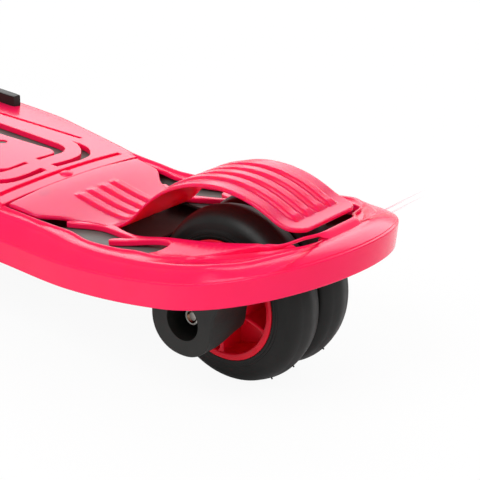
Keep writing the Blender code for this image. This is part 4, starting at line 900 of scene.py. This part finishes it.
def rib_lift(x, along):
    """Height of the four ribs above the brake's top, faded at their rounded ends."""
    ends = min(along - BRAKE_RIB_START, BRAKE_RIB_END - along)
    if ends <= 0.0:
        return 0.0
    best = 0.0
    for number in range(4):
        centre = (number - 1.5) * BRAKE_RIB_SPACING
        off = max(abs(x - centre) - BRAKE_RIB_TOP, 0.0) / BRAKE_RIB_FLANK
        end = max(1.0 - ends / BRAKE_RIB_FLANK, 0.0)
        radius = math.sqrt(off * off + end * end)
        if radius < 1.0:
            best = max(best, BRAKE_RIB_HEIGHT * (1.0 - radius ** 1.5))
    return best


def brake_section(along):
    """Closed section across the brake at a station, as (x, height) points in millimetres."""
    half = brake_half_width(along)
    crown = CROWN * (1.0 - smooth_step(along, -130.0, -75.0))
    round_top, round_low = 1.3, 0.8
    fine, outer_steps = 80, 6
    inner = min(BRAKE_SIDE_HALF, half - 3.0)
    top = [-inner + 2 * inner * i / fine for i in range(fine + 1)]
    outer = [inner + (half - round_top - inner) * i / outer_steps for i in range(1, outer_steps + 1)]
    xs = [-x for x in reversed(outer)] + top + outer
    section = []
    for x in xs:
        sag = crown * (x / CROWN_HALF_WIDTH) ** 2
        section.append((x, rib_lift(x, along) - sag))
    edge_sag = crown * (half / CROWN_HALF_WIDTH) ** 2
    low = -BRAKE_THICKNESS
    right = arc((half - round_top, -round_top - edge_sag), round_top, 72, 0, 4)
    right += arc((half - round_low, low + round_low - edge_sag), round_low, 0, -90, 3)
    left = [(-x, z) for x, z in reversed(right)]
    under = [((half - round_low) * (1 - 2 * i / 8), low - edge_sag) for i in range(1, 8)]
    return section + right + under + left


def make_brake():
    rings = []
    stations = []
    y = PARTING_LINE + 0.3
    while y < BRAKE_TAIL_END[0] - 10.0:
        stations.append(y)
        y += BRAKE_STEP
    for angle in range(0, 91, 6):
        stations.append(BRAKE_TAIL_END[0] - TAIL_FINE + TAIL_FINE * math.sin(math.radians(angle)))
    for along in stations:
        near_end = BRAKE_TAIL_END[0] - along
        ring = []
        lift = brake_top(along)
        for x, z in brake_section(along):
            if near_end < TAIL_ROUND:
                middle = -BRAKE_THICKNESS / 2
                squeeze = math.sqrt(max(1.0 - (1.0 - near_end / TAIL_ROUND) ** 2, 0.04))
                z = middle + (z - middle) * (0.35 + 0.65 * squeeze)
            ring.append((x * MM, along * MM + AXLE_Y, (lift + z) * MM + AXLE_Z))
        rings.append(ring)
    pieces = [loft("brake_sheet", rings)]
    pin_y = HINGE_LINE * MM + AXLE_Y
    pin_z = (deck_rise(HINGE_LINE) + PLATFORM_HEIGHT - HINGE_DROP) * MM
    for side in (1, -1):
        start = (side * KNUCKLE_X - 5.0) * MM
        profile = [(2.3, 0.0), (3.6, 0.0), (4.0, 0.4), (4.0, 9.6), (3.6, 10.0), (2.3, 10.0)]
        pieces.append(turned("knuckle", profile, 40, ring=True, matrix=across(start, pin_y, pin_z)))
        low = (side * KNUCKLE_X - 4.8, -1.2 + pin_y / MM, pin_z / MM + 2.2)
        high = (side * KNUCKLE_X + 4.8, 4.0 + pin_y / MM, pin_z / MM + HINGE_DROP - 2.0)
        pieces.append(block("web", low, high, 0.4))
    brake = merged("brake_moulding", pieces)
    dress(shaded(brake, 50.0), BRAKE_RED, "brake", "rear_brake")


# Wheels

RIM_DEPTH = 15.9
HUB_RING = 3.6
SPOKES = 5
SPOKE_TURN = 0.5
SPOKE_HALF = 1.35
REAR_WHEEL = (50.0, 26.0)     # radius and width
FRONT_WHEEL = (55.0, 25.0)
FRONT_HUB_LIP = 1.5
NIBS = ((52.0, 0.3), (31.5, 1.3), (-95.0, 0.0))    # turn in degrees, and distance from the middle


def tyre_profile(radius, width):
    """Closed section of a tyre: crowned tread, round shoulders, ringed sidewalls, flat bore."""
    half = width / 2
    inner = radius - RIM_DEPTH + 0.1
    outer = [(inner, half + 0.6), (inner + 0.3, half + 1.2), (inner + 0.8, half + 1.4),
             (inner + 1.7, half + 1.4), (inner + 2.0, half + 1.3), (inner + 2.2, half + 0.8),
             (inner + 3.4, half + 0.7), (inner + 3.6, half + 0.3), (inner + 4.6, half + 0.2),
             (inner + 4.9, half + 0.05), (inner + 5.6, half)]
    rise, reach, drop = 8.0, 9.0, 1.0
    centre = (radius - drop - rise, half - reach)
    for point in arc((0.0, 0.0), 1.0, 78, 8, 12):
        outer.append((centre[0] + point[0] * rise, centre[1] + point[1] * reach))
    outer += [(radius - 0.6, half * 0.30), (radius - 0.12, half * 0.12), (radius, 0.0)]
    return outer + [(r, -min(x, half - 0.15)) for r, x in reversed(outer[:-1])]


def make_tyre(name, node, body, radius, width, side, nibs):
    place = box_middle(node)
    tyre = turned(name, tyre_profile(radius, width), 160, ring=True, matrix=across(*place, side))
    pieces = [tyre]
    for angle, offset in nibs:
        turn = Matrix.Translation(place) @ Matrix.Rotation(math.radians(angle), 4, 'X')
        at = turn @ Matrix.Translation((offset * MM, 0.0, -(radius - 0.4) * MM))
        pieces.append(rod("nib", 0.45, -1.3, 0.6, 0.15, 12, matrix=at))
    dress(shaded(merged(name, pieces)), TYRE, body, node)


def spoke(reach, low, high, turn):
    """Straight spoke that flares where it meets the boss and the ring, its edges rounded."""
    rings = []
    start, steps = 14.0, 16
    for i in range(steps + 1):
        t = i / steps
        x = start + (reach - start) * t
        half = SPOKE_HALF + 3.2 * max(1.0 - t / 0.22, 0.0) ** 2 + 2.4 * max((t - 0.82) / 0.18, 0.0) ** 2
        drop = 0.7 * math.sin(math.pi * t)
        top = high - drop
        section = [(half, low + 0.5), (half, top - 0.9), (half - 0.3, top - 0.3), (half - 0.9, top),
                   (-half + 0.9, top), (-half + 0.3, top - 0.3), (-half, top - 0.9),
                   (-half, low + 0.5), (-half + 0.5, low), (half - 0.5, low)]
        rings.append([tuple(turn @ Vector((x * MM, y * MM, z * MM))) for y, z in section])
    return loft("spoke", rings)


def make_hub(name, node, body, radius, width, side, inner_lip):
    """Spoked hub: rim, boss with a raised seat, and dished spokes with rounded edges."""
    low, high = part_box(node)
    place = Vector((0.0, (low.y + high.y) / 2, (low.z + high.z) / 2))
    place.x = box_middle(node.replace("_hub", "_tyre")).x
    rim_outer = radius - RIM_DEPTH
    rim_inner = rim_outer - HUB_RING
    half = width / 2
    face, back = half + 1.8, -half - inner_lip
    ring = [(rim_outer, back), (rim_inner + 0.8, back), (rim_inner + 0.1, back + 0.7),
            (rim_inner - 1.0, 0.0), (rim_inner - 0.3, face - 1.5), (rim_inner, face - 0.6),
            (rim_inner + 0.5, face - 0.1), (rim_inner + 1.2, face), (rim_outer - 0.6, face),
            (rim_outer, face - 0.5)]
    pieces = [turned("ring", ring, 144, ring=True)]
    boss = [(11.3, half), (13.4, half + 1.0), (14.6, half + 1.2), (15.6, half + 1.0),
            (16.6, half + 0.2), (17.0, half - 1.4), (16.6, -1.0), (15.6, -half + 2.6),
            (13.6, -half), (11.3, -half)]
    pieces.append(turned("boss", boss, 96, ring=True))
    web = [(15.0, -3.6), (rim_outer - 1.0, -3.6), (rim_outer - 1.0, -1.4), (15.0, -1.4)]
    pieces.append(turned("web", web, 96, ring=True))
    for number in range(SPOKES):
        turn = Matrix.Rotation(2 * math.pi * number / SPOKES + math.radians(SPOKE_TURN), 4, 'Z')
        pieces.append(spoke(rim_inner + 1.0, -half + 4.0, half + 1.2, turn))
    hub = merged(name, pieces)
    hub.data.transform(Matrix.Translation(place) @ Matrix.Rotation(math.radians(90 * side), 4, 'Y'))
    dress(shaded(hub, 40.0), HUB_RED, body, node)


def make_wheels():
    left, right, front = "rear_wheel_left", "rear_wheel_right", "front_wheel"
    make_tyre("left_tyre", left + "_tyre", left, *REAR_WHEEL, 1, NIBS)
    make_tyre("right_tyre", right + "_tyre", right, *REAR_WHEEL, -1, NIBS[:1])
    make_tyre("front_tyre", front + "_tyre", front, *FRONT_WHEEL, 1, NIBS[1:])
    make_hub("left_hub", left + "_hub", left, *REAR_WHEEL, 1, 0.0)
    make_hub("right_hub", right + "_hub", right, *REAR_WHEEL, -1, 0.0)
    make_hub("front_hub", front + "_hub", front, *FRONT_WHEEL, 1, FRONT_HUB_LIP)


# Neck

WALL_START = -268.8
WALL_INSETS = (20.1, 13.3)
WALL_TOP = 34.9
NECK_PLATE_INSET, NECK_PLATE_REAR = 13.0, -372.0
NECK_PLATE_HEIGHT = 34.6
HEAD_LOW, HEAD_HIGH = 74.0, 146.0
HEAD_RADIUS = 23.0
HEADSET_RADIUS, HEADSET_DEPTH = 19.0, 8.0
STEERER_RADIUS = 14.0
NECK_BREADTH = 1.5           # breadth of the neck's sweep to its height
NECK_SQUARENESS = 0.85


def make_wall():
    """Collar round the front of the deck, open to the rear, its end slightly rounded."""
    stations = [st for st in deck_stations() if st[2] < 1.0]
    half = []
    for x, y, key, inward_x, inward_y in stations:
        if x >= 0.0 and y + inward_y * WALL_INSETS[0] <= WALL_START:
            half.append((x, y, inward_x, inward_y))
    half.sort(key=lambda st: st[1])
    path = [(-x, y, -ix, iy) for x, y, ix, iy in reversed(half) if x > 0.01] + half
    rings = []
    last = len(path) - 1
    inner, outer = WALL_INSETS
    for i, (x, y, ix, iy) in enumerate(path):
        pinch = 0.5 if i in (0, last) else 0.0
        foot, top = platform_surface(x) - 0.8, WALL_TOP
        profile = [(inner - pinch, foot), (inner - pinch, top - 0.8), (inner - 0.3 - pinch, top - 0.2),
                   (inner - 0.9 - pinch, top), (outer + 0.9 + pinch, top), (outer + 0.3 + pinch, top - 0.2),
                   (outer + pinch, top - 0.8), (outer + pinch, foot)]
        rings.append([deck_point(x + ix * inset, y + iy * inset, height)
                      for inset, height in profile])
    return loft("neck_wall", rings)


def bulged(share):
    """Share of a circle's radius, made that of a slightly squarer section."""
    return math.copysign(abs(share) ** NECK_SQUARENESS, share)


def make_gooseneck():
    """Swept neck from the foot plate up to the head tube."""
    base = deck_rise(-405.0) + NECK_PLATE_HEIGHT
    head = FRONT_AXLE / MM + STEERING_AXIS * (HEAD_LOW + HEAD_HIGH) / 2
    deck_nose = AXLE_Y / MM + DECK_NOSE
    stops = [(deck_nose + 74.0, base - 3.0, 6.0), (deck_nose + 56.0, base + 7.0, 10.0),
             (deck_nose + 33.0, base + 15.0, 14.5), (deck_nose + 10.0, base + 28.0, 17.5),
             (deck_nose - 8.0, base + 43.0, 18.0), (head.y + 27.0, head.z - 12.0, 16.5),
             (head.y + 21.0, head.z - 7.0, 13.0), (head.y + 17.4, head.z - 4.0, 8.6)]
    curve = through(stops, 5)
    rings = []
    for i, (y, z, radius) in enumerate(curve):
        before, after = curve[max(i - 1, 0)], curve[min(i + 1, len(curve) - 1)]
        tangent = Vector((0.0, after[0] - before[0], after[1] - before[1])).normalized()
        up = Vector((1.0, 0.0, 0.0)).cross(tangent)
        ring = []
        for k in range(48):
            angle = 2 * math.pi * k / 48
            side = NECK_BREADTH * radius * bulged(math.cos(angle))
            rise = radius * bulged(math.sin(angle))
            ring.append((side * MM, (y + up.y * rise) * MM, (z + up.z * rise) * MM))
        rings.append(ring)
    return loft("gooseneck", rings)


def make_neck():
    foot = [(x, y) for x, y in inset_loop(NECK_PLATE_INSET, FLUSH) if y < NECK_PLATE_REAR]
    plate_piece = bend(plate("foot", [foot], 28.2, NECK_PLATE_HEIGHT, 0.8, 3))
    bore_radius = STEERER_RADIUS + 1.0
    seat = HEADSET_RADIUS + 0.1
    end = [(bore_radius, HEADSET_DEPTH), (seat, HEADSET_DEPTH), (seat, 0.4), (seat + 0.4, 0.0),
           (HEAD_RADIUS - 0.8, 0.0), (HEAD_RADIUS, 0.8), (HEAD_RADIUS, 5.0), (HEAD_RADIUS - 1.0, 6.0),
           (HEAD_RADIUS - 1.4, 9.0)]
    tube = [(r, HEAD_LOW + up) for r, up in end] + [(r, HEAD_HIGH - up) for r, up in reversed(end)]
    head = turned("head", tube, 96, ring=True, matrix=on_steering())
    for piece, name in ((make_wall(), "neck_wall"), (plate_piece, "neck_foot"),
                        (make_gooseneck(), "neck_sweep"), (head, "neck_head")):
        piece.name = name
        dress(shaded(piece), BLACK, "deck", "neck")


# Underframe and rear axle

TRAY_INSET = 3.5
TRAY_TOP = 12.05
TRAY_THICKNESS = 3.0
TRAY_FRONT, TRAY_REAR = -428.0, 57.0
WELL_HALF_WIDTH, WELL_FRONT = 28.6, -56.0
WELL_WALL_TOP = 14.5
TRAY_RIB_X = 36.0
FLANGE_TOP = 19.6
BRAKE_CLEARANCE = 1.5
BRAKE_OVERLAP = 6.0
RIB_HALF = 1.6
RIB_FRONT, RIB_REAR = TRAY_FRONT + 60.0, -152.0
PAD_DEPTH = 4.4
PAD_FRONT, PAD_REAR = -372.0, -155.0
ARM_OUTER, ARM_INNER = 60.8, 31.4
ARM_RADIUS = 20.4
ARM_DEPTH = 19.9
ARM_FULLNESS = 2.2
ARM_TAPER = 0.30
RECESS_RADIUS = 10.7
RECESS_SHIFT = 1.2
RECESS_FLOOR = 44.0
BOLT_FACE = 52.3
BOLT_RADIUS = 4.5
BOLT_SHAFT = 3.9
BOLT_DROP = 1.0


def make_tray():
    """Closed floor of the deck with walls round the wheel well and two ribs along it."""
    loop = [(x, y) for x, y in inset_loop(TRAY_INSET, FLUSH) if x > 0.01 and TRAY_FRONT < y < TRAY_REAR]
    half, front = WELL_HALF_WIDTH, WELL_FRONT
    well = [(half, TRAY_REAR), (half, front + 4.0), (half - 1.2, front + 1.2), (half - 4.0, front)]
    pieces = [plate("floor", [both_sides(loop + well)], TRAY_TOP - TRAY_THICKNESS, TRAY_TOP, 0.5, 2)]
    inner = both_sides(well + [(0.0, front)])
    outer = both_sides([(half + 2.0, TRAY_REAR), (half + 2.0, front - 0.4), (half - 3.6, front - 2.0)])
    pieces.append(plate("well", [inner + outer[::-1]], TRAY_TOP - 1.0, WELL_WALL_TOP, 0.4, 2))
    for side in (1, -1):
        x = side * TRAY_RIB_X
        rib = [(x - RIB_HALF, RIB_REAR), (x + RIB_HALF, RIB_REAR), (x + RIB_HALF, RIB_FRONT),
               (x - RIB_HALF, RIB_FRONT)]
        pieces.append(plate("rib", [rib], TRAY_TOP - 1.0, TRAY_TOP + 7.0, 0.4, 2))
    edge = []
    for y, x in BRAKE_EDGE[:-1]:
        edge.append((x + BRAKE_CLEARANCE - BRAKE_OVERLAP * smooth_step(y, -108.0, -120.0), y))
    inner = through(edge + [(33.0, -40.0), (33.0, -24.0)], 4)
    for side in (1, -1):
        outer = [(x, y) for x, y in inset_loop(-7.0) if x > 0.0 and -141.0 < y < -24.0]
        flange = [(side * x, y) for x, y in inner + list(reversed(outer))]
        pieces.append(plate("flange", [flange], FLANGE_TOP - 1.8, FLANGE_TOP, 0.3, 2))
    pad = clipped(inset_loop(8.0, CREST_INSET), PAD_REAR, rear=False)
    pad = clipped(pad, PAD_FRONT, rear=True)
    level = PLATFORM_HEIGHT - PAD_DEPTH
    pad = [plate("pad", [pad], level - 1.8, level, 0.3, 2)]
    for plug in grip_holes(GRIP_HOLE_RADIUS - 0.2):
        pad.append(plate("plug", [plug], level - 0.5, PLATFORM_HEIGHT - 0.9, 0.3, 2))
    pieces.append(crowned(slice_across(merged("pad", pad))))
    return [bend(piece) for piece in pieces]


def make_arm(side):
    """Rounded arm that holds the axle, with the bolt's deep round recess in its outer face."""
    top = TRAY_TOP - 1.0 + deck_rise(0.0) - AXLE_Z / MM
    outline = []
    for y, z in arc((0.0, 0.0), 1.0, 180, 360, 40):
        reach = abs(y) ** (2 / ARM_FULLNESS)
        depth = abs(z) ** (2 / ARM_FULLNESS)
        outline.append((math.copysign(reach, y) * ARM_RADIUS, -depth * ARM_DEPTH))
    flare = through([(0.1, 2.0), (0.7, 5.0), (1.8, 9.0), (4.0, 14.0), (6.4, top - 1.0), (6.6, top)], 4)
    outline += [(ARM_RADIUS + out, z) for out, z in flare]
    outline += [(-ARM_RADIUS - out, z) for out, z in reversed(flare)]
    stations = [(ARM_INNER, 0.8), (ARM_INNER + 0.3, 0.3), (ARM_INNER + 0.9, 0.0)]
    stations += [(ARM_INNER + 2.0 + 2.0 * i, 0.0) for i in range(13)]
    stations += [(ARM_OUTER - 0.9, 0.0), (ARM_OUTER - 0.3, 0.15), (ARM_OUTER, 0.6)]
    rings = []
    for x, shrink in stations:
        taper = 1.0 - ARM_TAPER * smooth_step(x, 50.0, 30.0)
        ring = []
        for y, z in outline:
            share = 1.0 - shrink / ARM_RADIUS
            low = z * share * taper if z < 0.0 else z
            ring.append((side * x * MM, y * share * MM + AXLE_Y, low * MM + AXLE_Z))
        rings.append(ring)
    arm = loft("arm", rings)
    recess = rod("recess", RECESS_RADIUS, RECESS_FLOOR, ARM_OUTER + 5.0, 0.8, 72,
                 across(0.0, AXLE_Y + RECESS_SHIFT * MM, AXLE_Z, side))
    return cut(arm, recess)


def make_underframe():
    pieces = make_tray() + [make_arm(1), make_arm(-1)]
    names = ("underframe_floor", "underframe_well", "underframe_rib_left", "underframe_rib_right",
             "underframe_flange_left", "underframe_flange_right", "underframe_pad",
             "underframe_arm_left", "underframe_arm_right")
    for piece, name in zip(pieces, names):
        piece.name = name
        # Arms and well take the black; the rest take its lit grey copy, painted light
        material = BLACK if "arm" in name or "well" in name else TRAY_PAINTED_LIGHT
        dress(shaded(piece), material, "deck", "underframe")


def make_axle():
    """Rear axle bolt with a socket head at one end, and a domed nut at the other."""
    shaft = [(0.0, -6.0), (BOLT_SHAFT, -6.0), (BOLT_SHAFT, -96.0), (3.3, -96.6), (0.0, -96.6)]
    head = [(0.0, -5.9), (4.0, -5.9), (BOLT_RADIUS, -5.4), (BOLT_RADIUS, -0.4), (4.3, -0.1),
            (3.9, 0.0), (3.5, -0.1), (3.3, -0.5), (3.2, -1.2), (0.0, -1.2)]
    place = across(BOLT_FACE * MM, AXLE_Y, AXLE_Z)
    lowered = across(BOLT_FACE * MM, AXLE_Y, AXLE_Z - BOLT_DROP * MM)
    bolt = merged("rear_bolt", [turned("shaft", shaft, 64, matrix=place),
                                turned("head", head, 64, matrix=lowered)])
    dress(shaded(bolt), STEEL, "deck", "rear_axle_bolt")
    dish = [(0.0, -1.9), (0.9, -1.8), (1.9, -1.4), (2.7, -0.9), (3.25, -0.35), (3.25, -2.2), (0.0, -2.2)]
    socket = turned("rear_bolt_socket", dish, 48, matrix=lowered)
    # The socket's dish takes the bronze-tinted metal as a painted reflection: the brownish glint seen
    # inside the socket
    dress(shaded(socket), BRONZE_AND_PAINTED_REFLECTION, "deck", "rear_axle_bolt")
    dome = [(0.0, 8.2), (1.6, 8.0), (3.0, 7.2), (4.0, 5.9), (4.5, 4.4), (4.6, 3.8)]
    pieces = [turned("dome", dome + [(4.6, 0.6), (0.0, 0.6)], 48)]
    pieces.append(turned("nut", [(BOLT_SHAFT + 0.1, 0.0), (6.3, 0.0), (6.7, 0.4), (6.7, 3.6), (6.2, 4.1),
                                 (BOLT_SHAFT + 0.1, 4.1)], 6, ring=True))
    nut = merged("rear_nut", pieces)
    nut.data.transform(across(-RECESS_FLOOR * MM, AXLE_Y, AXLE_Z, -1))
    dress(shaded(nut), BRONZE_AND_PAINTED_REFLECTION, "deck", "rear_axle_nut")


make_deck()
make_brake()
make_wheels()
make_neck()
make_underframe()
make_axle()

NODE_MATERIALS = {
    "deck_plastic": RED,
    "black_plastic": BLACK,
    "tyre_rubber": TYRE,
    "grip_rubber": RUBBER,
    "painted_steel": PAINT,
    "plated_steel": STEEL,
    "bar_aluminium": ALUMINIUM,
}
for subpart in frame["record"]["subparts"]:
    node = frame["nodes"][subpart["node"]]
    node.data.materials.clear()
    node.data.materials.append(NODE_MATERIALS[subpart["material_slot"]])


# Stage, light and camera

FLOOR_HALF = 6.0         # metres
FLOOR_WHITE = 0.93       # share of plain white that the camera sees in the floor
FOCAL_PIXELS, PICTURE_PIXELS = 1345.48, 480.0
SENSOR_WIDTH = 36.0
CAMERA_RIGHT = (-0.6331, 0.7736, 0.0276)
CAMERA_VIEW = (-0.7182, -0.5737, -0.3937)
CAMERA_PLACE = (0.53023, 0.41288, 0.31417)    # metres from the rear axle


def make_stage():
    """Pale floor that keeps a faint shadow, nearly white to the camera, and a white world."""
    half = FLOOR_HALF
    floor = mesh_object("floor", [(-half, -half, 0.0), (half, -half, 0.0), (half, half, 0.0),
                                  (-half, half, 0.0)], [(0, 1, 2, 3)])
    material = bpy.data.materials.new("pale_floor")
    material.use_nodes = True
    tree = material.node_tree
    output = tree.nodes["Material Output"]
    shader = tree.nodes["Principled BSDF"]
    shader.inputs["Base Color"].default_value = (0.9, 0.9, 0.9, 1.0)
    shader.inputs["Roughness"].default_value = 0.9
    shader.inputs["Specular IOR Level"].default_value = 0.0
    white = tree.nodes.new("ShaderNodeEmission")
    white.inputs["Color"].default_value = (1.0, 1.0, 1.0, 1.0)
    white.inputs["Strength"].default_value = 1.0
    path = tree.nodes.new("ShaderNodeLightPath")
    share = tree.nodes.new("ShaderNodeMath")
    share.operation = 'MULTIPLY'
    share.inputs[1].default_value = FLOOR_WHITE
    tree.links.new(path.outputs["Is Camera Ray"], share.inputs[0])
    mix = tree.nodes.new("ShaderNodeMixShader")
    tree.links.new(share.outputs["Value"], mix.inputs["Fac"])
    tree.links.new(shader.outputs["BSDF"], mix.inputs[1])
    tree.links.new(white.outputs["Emission"], mix.inputs[2])
    tree.links.new(mix.outputs["Shader"], output.inputs["Surface"])
    floor.data.materials.append(material)

    world = bpy.data.worlds.new("studio")
    bpy.context.scene.world = world
    world.use_nodes = True
    tree = world.node_tree
    background = tree.nodes["Background"]
    background.inputs["Color"].default_value = (1.0, 1.0, 1.0, 1.0)
    path = tree.nodes.new("ShaderNodeLightPath")
    strength = tree.nodes.new("ShaderNodeMapRange")
    strength.inputs["To Min"].default_value = 0.62
    strength.inputs["To Max"].default_value = 1.0
    tree.links.new(path.outputs["Is Camera Ray"], strength.inputs["Value"])
    tree.links.new(strength.outputs["Result"], background.inputs["Strength"])


def area_light(name, place, target, size, power):
    light = bpy.data.lights.new(name, 'AREA')
    light.shape = 'RECTANGLE'
    light.size, light.size_y = size
    light.energy = power
    obj = bpy.data.objects.new(name, light)
    bpy.context.scene.collection.objects.link(obj)
    obj.location = place
    obj.rotation_euler = (Vector(target) - Vector(place)).to_track_quat('-Z', 'Y').to_euler()


def make_lights():
    target = (0.0, 0.2, 0.05)
    area_light("key softbox", (0.9, 0.1, 1.1), target, (0.7, 0.9), 9.5)
    area_light("rear softbox", (-0.5, 1.3, 1.0), target, (0.9, 0.7), 4.0)
    area_light("far wall", (-1.6, -1.1, 1.15), target, (2.6, 1.5), 26.0)


def make_camera():
    camera = bpy.data.cameras.new("camera")
    camera.sensor_width = SENSOR_WIDTH
    camera.lens = FOCAL_PIXELS / PICTURE_PIXELS * SENSOR_WIDTH
    camera.clip_start = 0.01
    obj = bpy.data.objects.new("camera", camera)
    bpy.context.scene.collection.objects.link(obj)
    right = Vector(CAMERA_RIGHT).normalized()
    view = Vector(CAMERA_VIEW).normalized()
    up = right.cross(view).normalized()
    right = view.cross(up).normalized()
    matrix = Matrix((right, up, -view)).transposed().to_4x4()
    matrix.translation = Vector(CAMERA_PLACE) + Vector((0.0, AXLE_Y, AXLE_Z))
    obj.matrix_world = matrix
    bpy.context.scene.camera = obj


make_stage()
make_lights()
make_camera()
bpy.context.scene.view_settings.view_transform = 'Standard'
